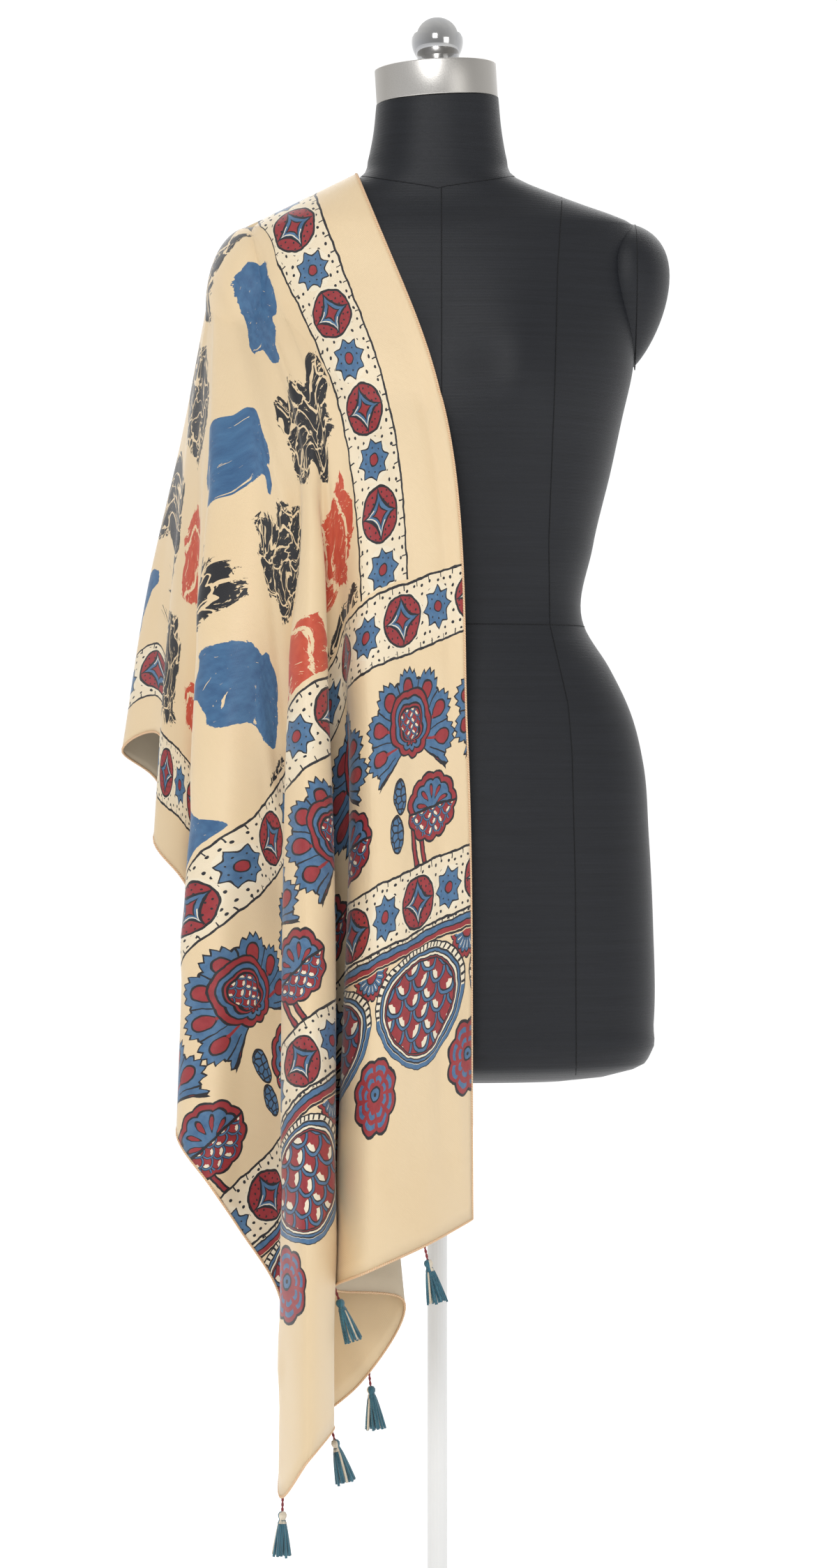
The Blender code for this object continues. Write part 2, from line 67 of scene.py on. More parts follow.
# The top line of the cloth on the shoulder, from the neck out to the peak over the arm cap
SHOULDER_COLUMNS = ("u", "x", "z")
SHOULDER_LINE = (
    (0.000, -0.0755, 1.4505),
    (0.050, -0.1210, 1.4290),
    (0.092, -0.1586, 1.4115),
    (0.117, -0.1820, 1.3998),
    (0.136, -0.1983, 1.3840),
    (0.150, -0.2067, 1.3706),
)

# Each fold of the cloth, in order round the form from the front inner edge to the back one.
# It leaves the shoulder line at ridge_u, passes the bust height at bust_u (None: straight in the
# sheet), then the place called mid, and ends on the hem at the sheet place hem_u, hem_v.
BUST_Z = 1.21
FOLD_COLUMNS = ("name", "ridge_u", "bust_u", "bust_x", "bust_y", "mid_x", "mid_y", "mid_z",
                "hem_x", "hem_y", "hem_z", "hem_u", "hem_v")
FOLDS = (
    ("inner_edge", 0.000, 0.000, 0.008, -0.125, 0.026, -0.125, 0.93, 0.031, -0.120, 0.490, 0.000, 1.00),
    ("panel", 0.055, 0.060, -0.040, -0.135, -0.018, -0.146, 0.93, -0.016, -0.182, 0.470, 0.085, 1.00),
    ("panel_ridge", 0.100, 0.115, -0.083, -0.145, -0.061, -0.170, 0.93, -0.060, -0.215, 0.453, 0.168, 1.00),
    ("recess", 0.108, 0.128, -0.093, -0.145, -0.080, -0.137, 0.93, -0.092, -0.135, 0.427, 0.257, 1.00),
    ("tail_fold", 0.112, 0.138, -0.101, -0.145, -0.079, -0.121, 0.92, -0.031, -0.104, 0.415, 0.320, 1.00),
    ("tail", 0.116, 0.146, -0.107, -0.144, -0.096, -0.116, 0.92, -0.071, -0.092, 0.338, 0.401, 1.00),
    ("tail_turn", 0.119, 0.152, -0.112, -0.143, -0.109, -0.119, 0.92, -0.120, -0.096, 0.298, 0.470, 1.00),
    ("pleat_right", 0.123, 0.158, -0.117, -0.143, -0.098, -0.163, 0.92, -0.094, -0.190, 0.309, 0.565, 1.00),
    ("pleat_front", 0.127, 0.163, -0.121, -0.143, -0.117, -0.187, 0.92, -0.114, -0.235, 0.288, 0.632, 1.00),
    ("front_tip", 0.131, 0.168, -0.125, -0.142, -0.135, -0.165, 0.92, -0.140, -0.188, 0.248, 0.700, 1.00),
    ("pleat_back", 0.136, 0.185, -0.131, -0.133, -0.128, -0.128, 0.92, -0.136, -0.140, 0.333, 0.700, 0.89),
    ("side_turn", 0.143, 0.215, -0.147, -0.127, -0.144, -0.125, 0.92, -0.145, -0.120, 0.425, 0.700, 0.776),
    ("side_panel_1", 0.150, None, -0.166, -0.121, -0.165, -0.128, 0.93, -0.180, -0.132, 0.483, 0.700, 0.706),
    ("side_panel_2", 0.150, None, -0.185, -0.113, -0.193, -0.132, 0.93, -0.206, -0.150, 0.524, 0.700, 0.655),
    ("side_ridge", 0.150, None, -0.206, -0.098, -0.222, -0.113, 0.93, -0.236, -0.125, 0.567, 0.700, 0.593),
    ("valley_1", 0.150, None, -0.208, -0.086, -0.211, -0.080, 0.93, -0.207, -0.070, 0.620, 0.700, 0.450),
    ("under_ridge", 0.150, None, -0.212, -0.076, -0.224, -0.058, 0.94, -0.228, -0.045, 0.690, 0.700, 0.340),
    ("valley_2", 0.150, None, -0.215, -0.067, -0.217, -0.034, 0.95, -0.213, -0.012, 0.740, 0.700, 0.250),
    ("second_panel", 0.150, None, -0.220, -0.056, -0.236, -0.030, 0.98, -0.236, -0.030, 0.797, 0.700, 0.146),
    ("second_ridge", 0.150, None, -0.228, -0.043, -0.250, -0.020, 1.01, -0.262, -0.020, 0.830, 0.700, 0.047),
    ("valley_3", 0.150, None, -0.231, -0.024, -0.246, 0.012, 1.01, -0.245, 0.018, 0.875, 0.700, 0.000),
    ("outer_panel", 0.150, None, -0.235, -0.005, -0.259, 0.035, 1.05, -0.263, 0.050, 0.933, 0.700, -0.030),
    ("outer_corner", 0.150, None, -0.238, 0.020, -0.274, 0.060, 1.06, -0.299, 0.100, 0.915, 0.700, -0.085),
    ("turned_edge", 0.150, None, -0.237, 0.045, -0.250, 0.090, 1.04, -0.270, 0.128, 0.891, 0.700, -0.140),
    ("back_side_1", 0.150, None, -0.229, 0.075, -0.228, 0.122, 1.00, -0.244, 0.146, 0.813, 0.700, -0.270),
    ("back_side_2", 0.150, None, -0.212, 0.100, -0.205, 0.134, 0.95, -0.212, 0.170, 0.698, 0.700, -0.420),
    ("back_valley", 0.146, 0.215, -0.185, 0.113, -0.176, 0.130, 0.92, -0.172, 0.136, 0.566, 0.700, -0.580),
    ("back_tip", 0.138, 0.175, -0.165, 0.112, -0.155, 0.158, 0.92, -0.140, 0.190, 0.470, 0.700, -0.750),
    ("back_fold_1", 0.128, 0.155, -0.152, 0.111, -0.141, 0.128, 0.92, -0.124, 0.129, 0.498, 0.615, -0.750),
    ("back_fold_2", 0.115, 0.140, -0.142, 0.112, -0.131, 0.162, 0.92, -0.112, 0.205, 0.532, 0.525, -0.750),
    ("back_fold_3", 0.100, 0.120, -0.130, 0.112, -0.113, 0.129, 0.92, -0.090, 0.130, 0.573, 0.430, -0.750),
    ("back_fold_4", 0.085, 0.100, -0.118, 0.113, -0.102, 0.163, 0.92, -0.079, 0.208, 0.608, 0.335, -0.750),
    ("back_fold_5", 0.065, 0.080, -0.103, 0.113, -0.083, 0.130, 0.92, -0.056, 0.134, 0.643, 0.235, -0.750),
    ("back_fold_6", 0.045, 0.055, -0.088, 0.113, -0.068, 0.158, 0.92, -0.045, 0.198, 0.675, 0.145, -0.750),
    ("back_fold_7", 0.020, 0.025, -0.070, 0.113, -0.048, 0.133, 0.92, -0.020, 0.140, 0.705, 0.060, -0.750),
    ("back_inner_edge", 0.000, 0.000, -0.055, 0.113, -0.033, 0.136, 0.92, -0.004, 0.158, 0.725, 0.000, -0.750),
)
ROWS = 96
ROW_GROWTH = 1.5
COLUMN_SPACING = 0.0068
LEAST_COLUMNS = 7
RIDGE_POINTS = 60
TINY = 1e-6
CLEAR = 0.0030
CAP_CLEAR = 0.0048
SHOULDER_CLEAR = 0.0042
FRONT_END = 1.00
BACK_END = 0.75
STOLE_WIDTH = 0.70

# The print: where its bands cross the stole, counted from the end less 1 m, and the repeats of its rows
BAND_A = 0.455
BAND_B = 0.702
BAND_HALF = 0.0300
SIDE_BAND = 0.070
SIDE_BAND_DRIFT = 0.075
FAN_W = 0.545
FAN_U = 0.080
FAN_PITCH = 0.124
STRIPES_W = 0.735
SHELL_W = 0.794
SHELL_U = 0.080
SHELL_PITCH = 0.145

# Soft creases pressed into the hanging cloth: from one sheet place to another, how wide and how deep
CREASE_COLUMNS = ("u0", "v0", "u1", "v1", "half_width", "depth")
CREASES = (
    (0.020, 0.06, 0.022, 0.60, 0.007, -0.0022),
    (0.004, 0.05, 0.003, 0.55, 0.007, 0.0026),
    (0.040, 0.50, 0.052, 0.98, 0.010, -0.0020),
    (0.095, 0.40, 0.120, 0.92, 0.011, 0.0022),
    (0.030, 0.78, 0.012, 0.99, 0.009, 0.0018),
    (0.020, 0.930, 0.070, 0.952, 0.006, -0.0012),
    (0.060, 0.955, 0.130, 0.940, 0.006, 0.0011),
    (0.090, 0.10, 0.060, 0.42, 0.010, -0.0018),
    (0.125, 0.14, 0.105, 0.50, 0.009, 0.0018),
    (0.180, 0.10, 0.200, 0.40, 0.012, -0.0024),
    (0.240, 0.12, 0.300, 0.46, 0.013, 0.0026),
    (0.300, 0.10, 0.380, 0.44, 0.012, -0.0024),
    (0.360, 0.16, 0.480, 0.58, 0.013, 0.0026),
    (0.430, 0.14, 0.560, 0.52, 0.012, -0.0024),
    (0.520, 0.18, 0.620, 0.60, 0.012, 0.0024),
    (0.500, 0.55, 0.600, 0.94, 0.010, -0.0018),
    (0.430, 0.62, 0.510, 0.96, 0.010, 0.0018),
    (0.600, 0.70, 0.660, 0.97, 0.009, 0.0018),
    (0.610, 0.90, 0.670, 0.93, 0.006, -0.0012),
    (0.560, -0.10, 0.600, -0.50, 0.012, -0.0024),
    (0.470, -0.12, 0.520, -0.60, 0.012, 0.0024),
    (0.380, -0.10, 0.420, -0.66, 0.012, -0.0022),
    (0.290, -0.12, 0.320, -0.70, 0.011, 0.0022),
    (0.200, -0.10, 0.210, -0.68, 0.011, -0.0020),
    (0.110, -0.12, 0.110, -0.70, 0.010, 0.0020),
    (0.040, -0.08, 0.030, -0.66, 0.009, -0.0018),
)

# The dress form: half widths to each side, and depths to the front and back, at each height
FORM_COLUMNS = ("z", "left", "right", "front", "back")
FORM = (
    (1.5195, 0.0570, 0.0570, 0.0540, 0.0540),
    (1.4900, 0.0600, 0.0600, 0.0560, 0.0570),
    (1.4640, 0.0650, 0.0650, 0.0590, 0.0620),
    (1.4530, 0.0676, 0.0680, 0.0610, 0.0650),
    (1.4470, 0.0740, 0.0750, 0.0620, 0.0680),
    (1.4350, 0.0990, 0.1030, 0.0640, 0.0730),
    (1.4210, 0.1280, 0.1410, 0.0690, 0.0790),
    (1.4080, 0.1550, 0.1765, 0.0760, 0.0850),
    (1.4030, 0.1640, 0.1842, 0.0790, 0.0870),
    (1.3950, 0.1740, 0.1868, 0.0830, 0.0900),
    (1.3700, 0.1810, 0.1870, 0.0920, 0.0960),
    (1.3300, 0.1820, 0.1860, 0.1020, 0.1010),
    (1.2690, 0.1800, 0.1820, 0.1120, 0.1020),
    (1.2250, 0.1715, 0.1722, 0.1150, 0.0990),
    (1.1770, 0.1619, 0.1619, 0.1100, 0.0930),
    (1.1060, 0.1450, 0.1450, 0.0960, 0.0840),
    (1.0320, 0.1365, 0.1365, 0.0870, 0.0810),
    (0.9930, 0.1600, 0.1600, 0.0920, 0.0950),
    (0.9510, 0.1800, 0.1800, 0.0980, 0.1090),
    (0.9040, 0.1918, 0.1918, 0.1030, 0.1180),
    (0.8370, 0.1970, 0.1970, 0.1060, 0.1230),
    (0.7570, 0.2009, 0.2009, 0.1050, 0.1210),
    (0.6610, 0.2015, 0.2015, 0.1010, 0.1150),
    (0.6350, 0.1990, 0.1990, 0.0990, 0.1120),
    (0.6200, 0.1830, 0.1830, 0.0880, 0.1000),
    (0.6130, 0.1560, 0.1560, 0.0700, 0.0800),
    (0.6090, 0.1200, 0.1200, 0.0500, 0.0580),
)
SQUARENESS = 2.35
BUST_RISE = 0.023
BUST_X = 0.082
BUST_HEIGHT = 1.262
BUST_SPREAD_X = 0.050
BUST_SPREAD_Z = 0.056
NECK_BASE_Z = 1.455
NECK_TOP_Z = FORM[0][0]
NECK_TILT = math.radians(3.5)
CAP_COLUMNS = ("name", "x", "z", "half_x", "half_y", "half_z", "point", "rise")
ARM_CAPS = (
    ("arm_cap_left", -0.174, 1.330, 0.036, 0.055, 0.0675, 0.0, 0.0),
    ("arm_cap_right", 0.178, 1.338, 0.0385, 0.055, 0.0685, 0.25, 0.28),
)

# The tassels, five along each short end
TASSEL_COUNT = 5
FRONT_INSET = 0.5
BACK_INSET = 0.65
TASSEL_LAST = 0.995
CORD_DROP = 0.0007
FRONT_LEANS = (0.22, 0.34, 0.12, 0.26, -0.02)
BACK_LEANS = (0.05, -0.08, 0.04, 0.10, -0.03)


class StoleSettings(bpy.types.PropertyGroup):
    wall: FloatProperty(
        name="Cloth thickness", description="Thickness of the satin",
        default=0.0009, min=0.0005, max=0.0020, unit="LENGTH")
    hem_radius: FloatProperty(
        name="Edge thickness", description="Half thickness of the overlocked edge",
        default=0.0012, min=0.0005, max=0.0030, unit="LENGTH")
    ground: FloatVectorProperty(
        name="Ground", description="Colour of the unprinted satin",
        default=(0.82, 0.65, 0.42), min=0, max=1, subtype="COLOR")
    underside: FloatVectorProperty(
        name="Underside", description="Colour of the back of the satin",
        default=(0.62, 0.52, 0.38), min=0, max=1, subtype="COLOR")
    stitching: FloatVectorProperty(
        name="Overlock thread", description="Colour of the thread along the edge",
        default=(0.80, 0.42, 0.22), min=0, max=1, subtype="COLOR")


class TasselSettings(bpy.types.PropertyGroup):
    cord: FloatProperty(
        name="Cord length", description="Length of the cord above the head",
        default=0.0125, min=0.005, max=0.03, unit="LENGTH")
    skirt: FloatProperty(
        name="Skirt length", description="Length of the strands below the tie",
        default=0.0330, min=0.01, max=0.06, unit="LENGTH")
    strands: IntProperty(
        name="Strands", description="Strands in one tassel", default=24, min=8, max=25)
    yarn: FloatVectorProperty(
        name="Yarn", description="Colour of most strands",
        default=(0.016, 0.085, 0.125), min=0, max=1, subtype="COLOR")
    cord_colour: FloatVectorProperty(
        name="Cord", description="Colour of the cord",
        default=(0.20, 0.012, 0.020), min=0, max=1, subtype="COLOR")


class FormSettings(bpy.types.PropertyGroup):
    jersey: FloatVectorProperty(
        name="Jersey", description="Colour of the cloth on the dress form",
        default=(0.0045, 0.0055, 0.0082), min=0, max=1, subtype="COLOR")
    seam: FloatProperty(
        name="Seam thickness", description="Half thickness of a seam line",
        default=0.0005, min=0.0003, max=0.0020, unit="LENGTH")
    enamel: FloatVectorProperty(
        name="Stand enamel", description="Colour of the pole and base",
        default=(0.80, 0.80, 0.79), min=0, max=1, subtype="COLOR")


def spline(knots, values, at):
    """Cubic Hermite curve through values at knots, with slopes from each point's neighbours."""
    knots = np.asarray(knots, float)
    values = np.asarray(values, float)
    at = np.clip(np.asarray(at, float), knots[0], knots[-1])
    steps = np.diff(knots)
    falls = np.diff(values, axis=0) / steps[:, None]
    slopes = np.empty_like(values)
    slopes[0] = falls[0]
    slopes[-1] = falls[-1]
    before = steps[:-1, None]
    after = steps[1:, None]
    slopes[1:-1] = (falls[:-1] * after + falls[1:] * before) / (before + after)
    index = np.clip(np.searchsorted(knots, at, side="right") - 1, 0, len(steps) - 1)
    width = steps[index][:, None]
    t = ((at - knots[index]) / steps[index])[:, None]
    start = (1 + 2 * t) * (1 - t) ** 2 * values[index] + t * (1 - t) ** 2 * width * slopes[index]
    end = t * t * (3 - 2 * t) * values[index + 1] + t * t * (t - 1) * width * slopes[index + 1]
    return start + end


def chord_knots(points):
    """Running length along a row of points."""
    lengths = np.linalg.norm(np.diff(points, axis=0), axis=1)
    return np.concatenate(([0.0], np.cumsum(lengths)))


def column(rows, names, name):
    return [row[names.index(name)] for row in rows]


def fold_index(name):
    return column(FOLDS, FOLD_COLUMNS, "name").index(name)


def form_size(name, z):
    """Half width or depth of the dress form at the heights z."""
    return np.interp(z, column(FORM, FORM_COLUMNS, "z")[::-1], column(FORM, FORM_COLUMNS, name)[::-1])


def form_depth(x, z, front):
    """How far the form reaches forward (or back) of its axis at places seen from the front."""
    side = np.where(x < 0, form_size("left", z), form_size("right", z))
    across = np.clip(np.abs(x) / side, 0, 1)
    share = (1 - across ** SQUARENESS) ** (1 / SQUARENESS)
    bust = BUST_RISE * np.exp(-((np.abs(x) - BUST_X) / BUST_SPREAD_X) ** 2
                              - ((z - BUST_HEIGHT) / BUST_SPREAD_Z) ** 2)
    depth = np.where(front, form_size("front", z) + bust, form_size("back", z)) * share
    return np.where((z > NECK_TOP_Z) | (z < FORM[-1][0]), 0.0, depth)


def clear_of_form(places):
    """Moves places on the cloth outward until they lie clear of the torso and the left arm cap."""
    places = np.array(places, float)
    _, cap_x, cap_z, half_x, half_y, half_z, _, _ = ARM_CAPS[0]
    centre = np.array((cap_x, 0.0, cap_z))
    size = np.array((half_x, half_y, half_z)) + CAP_CLEAR
    away = places - centre
    reach = np.linalg.norm(away / size, axis=-1, keepdims=True)
    places = np.where(reach < 1, centre + away / np.maximum(reach, TINY), places)
    x, y, z = places[..., 0], places[..., 1], places[..., 2]
    front = y < 0
    depth = np.maximum(form_depth(x, z, front), form_depth(x, z - SHOULDER_CLEAR, front))
    held = (depth > 0) & (np.abs(y) < depth + CLEAR)
    places[..., 1] = np.where(held, np.where(front, -1, 1) * (depth + CLEAR), y)
    return places


def fold_lines(levels):
    """Each fold as rows of x, y, z, u, v from the shoulder line to the hem."""
    ridge_u = column(SHOULDER_LINE, SHOULDER_COLUMNS, "u")
    ridge_xz = [row[1:] for row in SHOULDER_LINE]
    lines = []
    for fold in FOLDS:
        row = dict(zip(FOLD_COLUMNS, fold))
        top_x, top_z = spline(ridge_u, ridge_xz, [row["ridge_u"]])[0]
        stations = np.array(((top_x, 0.0, top_z),
                             (row["bust_x"], row["bust_y"], BUST_Z),
                             (row["mid_x"], row["mid_y"], row["mid_z"]),
                             (row["hem_x"], row["hem_y"], row["hem_z"])))
        knots = chord_knots(stations)
        length = knots[-1]
        places = spline(knots, stations, levels * length)
        bust_u = row["bust_u"]
        if bust_u is None:
            bust_u = row["ridge_u"] + (row["hem_u"] - row["ridge_u"]) * knots[1] / length
        u = np.interp(levels * length, (0, knots[1], length), (row["ridge_u"], bust_u, row["hem_u"]))
        lines.append(np.column_stack((places, u, levels * row["hem_v"])))
    return np.array(lines)


def column_steps(lines):
    """Where the cloth is sampled across, counted in folds, closer where it is wider."""
    widths = np.linalg.norm(np.diff(lines[:, :, :3], axis=0), axis=2).max(axis=1)
    steps = []
    for index, width in enumerate(widths):
        count = max(LEAST_COLUMNS, round(width / COLUMN_SPACING))
        steps.extend(index + k / count for k in range(count))
    steps.append(len(lines) - 1)
    return steps


def cross_section(lines, level, steps):
    """Places x, y, z, u, v across the cloth at one level, curved smoothly through its folds."""
    section = lines[:, level]
    places = section[:, :3] + np.arange(len(section))[:, None] * TINY
    knots = chord_knots(places)
    return spline(knots, section, np.interp(steps, np.arange(len(section)), knots))


def surface_normals(grid):
    across = np.gradient(grid, axis=1)
    along = np.gradient(grid, axis=0)
    normals = np.cross(across, along)
    return normals / np.maximum(np.linalg.norm(normals, axis=2, keepdims=True), TINY * TINY)


def crease_heights(u, v):
    """How far the soft creases raise or sink the cloth at its sheet places."""
    heights = np.zeros_like(u)
    for u0, v0, u1, v1, half_width, depth in CREASES:
        length = math.hypot(u1 - u0, v1 - v0)
        along = ((u - u0) * (u1 - u0) + (v - v0) * (v1 - v0)) / length ** 2
        aside = np.abs((u - u0) * (v1 - v0) - (v - v0) * (u1 - u0)) / length
        fade = np.clip(np.minimum(along, 1 - along) * 4 + 0.0, 0, 1)
        heights += depth * fade * fade * (3 - 2 * fade) * np.exp(-(aside / half_width) ** 2)
    return heights


def cloth_grid():
    """The cloth's inner face as rows of places, and its sheet places, below the shoulder line."""
    levels = np.linspace(0, 1, ROWS + 1) ** ROW_GROWTH
    lines = fold_lines(levels)
    steps = column_steps(lines)
    grid = np.array([cross_section(lines, level, steps) for level in range(1, ROWS + 1)])
    places, sheet = grid[..., :3], grid[..., 3:]
    places = clear_of_form(places)
    places += surface_normals(places) * crease_heights(sheet[..., 0], sheet[..., 1])[..., None]
    places = clear_of_form(places)
    return places, spread_sheet(places, cross_section(lines, 0, steps), sheet, levels), np.array(steps)


def spread_sheet(places, top, sheet, levels):
    """The sheet places again, spread by the true length of cloth down each column."""
    columns = np.concatenate((top[None, :, :3], places))
    sheet = np.concatenate((top[None, :, 3:], sheet))
    lengths = np.cumsum(np.linalg.norm(np.diff(columns, axis=0), axis=2), axis=0)
    spread = np.empty_like(sheet[1:])
    for k in range(columns.shape[1]):
        shares = lengths[:, k] / lengths[-1, k]
        for axis in (0, 1):
            spread[:, k, axis] = np.interp(shares, levels, sheet[:, k, axis])
    return spread


def ridge_line():
    """The cloth's inner face on the shoulder line, as places and sheet places."""
    u = np.linspace(0, SHOULDER_LINE[-1][0], RIDGE_POINTS)
    xz = spline(column(SHOULDER_LINE, SHOULDER_COLUMNS, "u"), [row[1:] for row in SHOULDER_LINE], u)
    places = np.column_stack((xz[:, 0], np.zeros_like(u), xz[:, 1]))
    return places, np.column_stack((u, np.zeros_like(u)))


def join_rows(shape, upper, upper_at, lower, lower_at):
    """Fills between two rows of points whose places along them rise from 0, with triangles."""
    i, j = 0, 0
    while i < len(upper) - 1 or j < len(lower) - 1:
        step_upper = j == len(lower) - 1
        if i < len(upper) - 1 and j < len(lower) - 1:
            step_upper = upper_at[i + 1] < lower_at[j + 1]
        if step_upper:
            shape.faces.new((upper[i], lower[j], upper[i + 1]))
            i += 1
        else:
            shape.faces.new((upper[i], lower[j], lower[j + 1]))
            j += 1


def build_cloth_mesh(grid, sheet, steps):
    """One sheet over the shoulder line, with the sheet places as its UV map."""
    shape = bmesh.new()
    uv = shape.loops.layers.uv.new("sheet")
    spot = {}
    ridge, ridge_sheet = ridge_line()
    tops = [shape.verts.new(place) for place in ridge]
    for vert, place in zip(tops, ridge_sheet):
        spot[vert] = place
    rows = []
    for row, row_sheet in zip(grid, sheet):
        rows.append([shape.verts.new(place) for place in row])
        for vert, place in zip(rows[-1], row_sheet):
            spot[vert] = place
    for upper, lower in zip(rows, rows[1:]):
        for k in range(len(upper) - 1):
            shape.faces.new((upper[k], upper[k + 1], lower[k + 1], lower[k]))
    folds = np.arange(len(FOLDS))
    ridge_u = np.interp(steps, folds, column(FOLDS, FOLD_COLUMNS, "ridge_u"))
    peak = SHOULDER_LINE[-1][0]
    front = [k for k in range(len(steps)) if steps[k] <= fold_index("side_panel_1")]
    back = [k for k in range(len(steps)) if steps[k] >= fold_index("back_side_2")]
    first = rows[0]
    join_rows(shape, tops, ridge_sheet[:, 0], [first[k] for k in front], ridge_u[front])
    for k in range(front[-1], back[0]):
        shape.faces.new((tops[-1], first[k], first[k + 1]))
    join_rows(shape, tops[::-1], peak - ridge_sheet[::-1, 0], [first[k] for k in back], peak - ridge_u[back])
    bmesh.ops.recalc_face_normals(shape, faces=shape.faces)
    sample = rows[ROWS // 2][len(front) // 3]
    if sample.link_faces[0].normal.y > 0:
        bmesh.ops.reverse_faces(shape, faces=shape.faces)
    for face in shape.faces:
        face.smooth = True
        for loop in face.loops:
            loop[uv].uv = spot[loop.vert]
    mesh = bpy.data.meshes.new("stole")
    shape.to_mesh(mesh)
    shape.free()
    return mesh


class Field:
    """A number that math nodes work out at every point of a surface."""

    def __init__(self, tree, socket):
        self.tree = tree
        self.socket = socket

    def __add__(self, other):
        return calc("ADD", self, other)

    def __radd__(self, other):
        return calc("ADD", other, self)

    def __sub__(self, other):
        return calc("SUBTRACT", self, other)

    def __rsub__(self, other):
        return calc("SUBTRACT", other, self)

    def __mul__(self, other):
        return calc("MULTIPLY", self, other)

    def __rmul__(self, other):
        return calc("MULTIPLY", other, self)

    def __truediv__(self, other):
        return calc("DIVIDE", self, other)

    def __abs__(self):
        return calc("ABSOLUTE", self)

    def __lt__(self, other):
        return calc("LESS_THAN", self, other)

    def __gt__(self, other):
        return calc("GREATER_THAN", self, other)

    def __pow__(self, other):
        return calc("POWER", self, other)

    def near(self, middle, half):
        return calc("COMPARE", self, middle, half)

    def wrapped(self, period):
        """The distance to the nearest of evenly spaced middles, with its sign."""
        return calc("WRAP", self, period / 2, -period / 2)

    def teeth(self, pitch):
        """A zigzag from 0 to 1 and back."""
        return calc("PINGPONG", self, pitch / 2) * (2 / pitch)


def calc(operation, *values, clamp=False):
    """A math node over fields and plain numbers."""
    tree = next(value.tree for value in values if isinstance(value, Field))
    node = tree.nodes.new("ShaderNodeMath")
    node.operation = operation
    node.use_clamp = clamp
    for entry, value in zip(node.inputs, values):
        if isinstance(value, Field):
            tree.links.new(value.socket, entry)
        else:
            entry.default_value = value
    return Field(tree, node.outputs[0])


def least(a, b):
    return calc("MINIMUM", a, b)


def most(a, b):
    return calc("MAXIMUM", a, b)


def choose(where, yes, no):
    """yes where the mask is 1, no elsewhere."""
    return calc("MULTIPLY_ADD", yes - no, where, no)


def vector(x, y):
    node = x.tree.nodes.new("ShaderNodeCombineXYZ")
    x.tree.links.new(x.socket, node.inputs[0])
    x.tree.links.new(y.socket, node.inputs[1])
    return node.outputs[0]


def distance(x, y):
    node = x.tree.nodes.new("ShaderNodeVectorMath")
    node.operation = "LENGTH"
    x.tree.links.new(vector(x, y), node.inputs[0])
    return Field(x.tree, node.outputs["Value"])


def angle(x, y):
    return calc("ARCTAN2", y, x)


def noise(tree, place, scale, detail=2.0, rough=0.5):
    node = tree.nodes.new("ShaderNodeTexNoise")
    node.noise_dimensions = "2D"
    node.inputs["Scale"].default_value = scale
    node.inputs["Detail"].default_value = detail
    node.inputs["Roughness"].default_value = rough
    tree.links.new(place, node.inputs["Vector"])
    return node


def grain(x, y, scale, detail=2.0, rough=0.5):
    return Field(x.tree, noise(x.tree, vector(x, y), scale, detail, rough).outputs[0])


def cells(x, y, pitch, random=0.6, feature="F1"):
    """Distance to the nearest of scattered points, in metres."""
    node = x.tree.nodes.new("ShaderNodeTexVoronoi")
    node.voronoi_dimensions = "2D"
    node.feature = feature
    node.inputs["Scale"].default_value = 1 / pitch
    node.inputs["Randomness"].default_value = random
    x.tree.links.new(vector(x, y), node.inputs["Vector"])
    return Field(x.tree, node.outputs["Distance"]) * pitch


def mixed(tree, a, b, amount):
    """A colour between two, each a socket or plain numbers."""
    node = tree.nodes.new("ShaderNodeMix")
    node.data_type = "RGBA"
    for entry, value in ((node.inputs[0], amount), (node.inputs[6], a), (node.inputs[7], b)):
        if isinstance(value, Field):
            tree.links.new(value.socket, entry)
        elif isinstance(value, bpy.types.NodeSocket):
            tree.links.new(value, entry)
        elif isinstance(value, tuple):
            entry.default_value = (*value, 1)
        else:
            entry.default_value = value
    return node.outputs[2]


class Print:
    """Inks laid one over another on a ground."""

    def __init__(self, tree, ground):
        self.tree = tree
        self.colour = ground
        self.inks = {}

    def lay(self, ink, where):
        self.colour = mixed(self.tree, self.colour, self.inks[ink], where)

    def fill(self, ink, shape, line=0.0009, edge="black"):
        """A patch of ink where shape, a distance outside its edge, is under 0, with an outline."""
        self.lay(ink, shape < 0)
        if line:
            self.lay(edge, shape.near(0, line))


def medallion(cloth, x, y):
    """A red oval with black dots, a blue four-pointed star and a red star inside it."""
    rim = distance(x * (1 / 0.0245), y * (1 / 0.0225))
    cloth.lay("red", rim < 1)
    cloth.lay("black", (cells(x, y, 0.0062, 0.35) < 0.0010) * (rim < 0.9))
    star = (abs(x) * (1 / 0.0225)) ** 0.64 + (abs(y) * (1 / 0.0205)) ** 0.64
    cloth.fill("blue", star - 1, 0.075)
    cloth.lay("pale", star.near(0.86, 0.035) * (x + y > 0.001))
    cloth.fill("red", star - 0.62, 0.06)
    cloth.lay("black", rim.near(0.97, 0.045))


def small_flower(cloth, x, y):
    """A blue flower with eight pointed petals and a red eye."""
    turn = angle(x, y)
    out = distance(x, y)
    petals = out - 0.0190 + abs(calc("SINE", turn * 4)) * 0.0052
    cloth.fill("blue", petals, 0.0008)
    dot = distance(out - 0.0105, turn.wrapped(math.pi / 4) * out)
    cloth.lay("black", dot < 0.00085)
    cloth.fill("red", out - 0.0050, 0.0006)


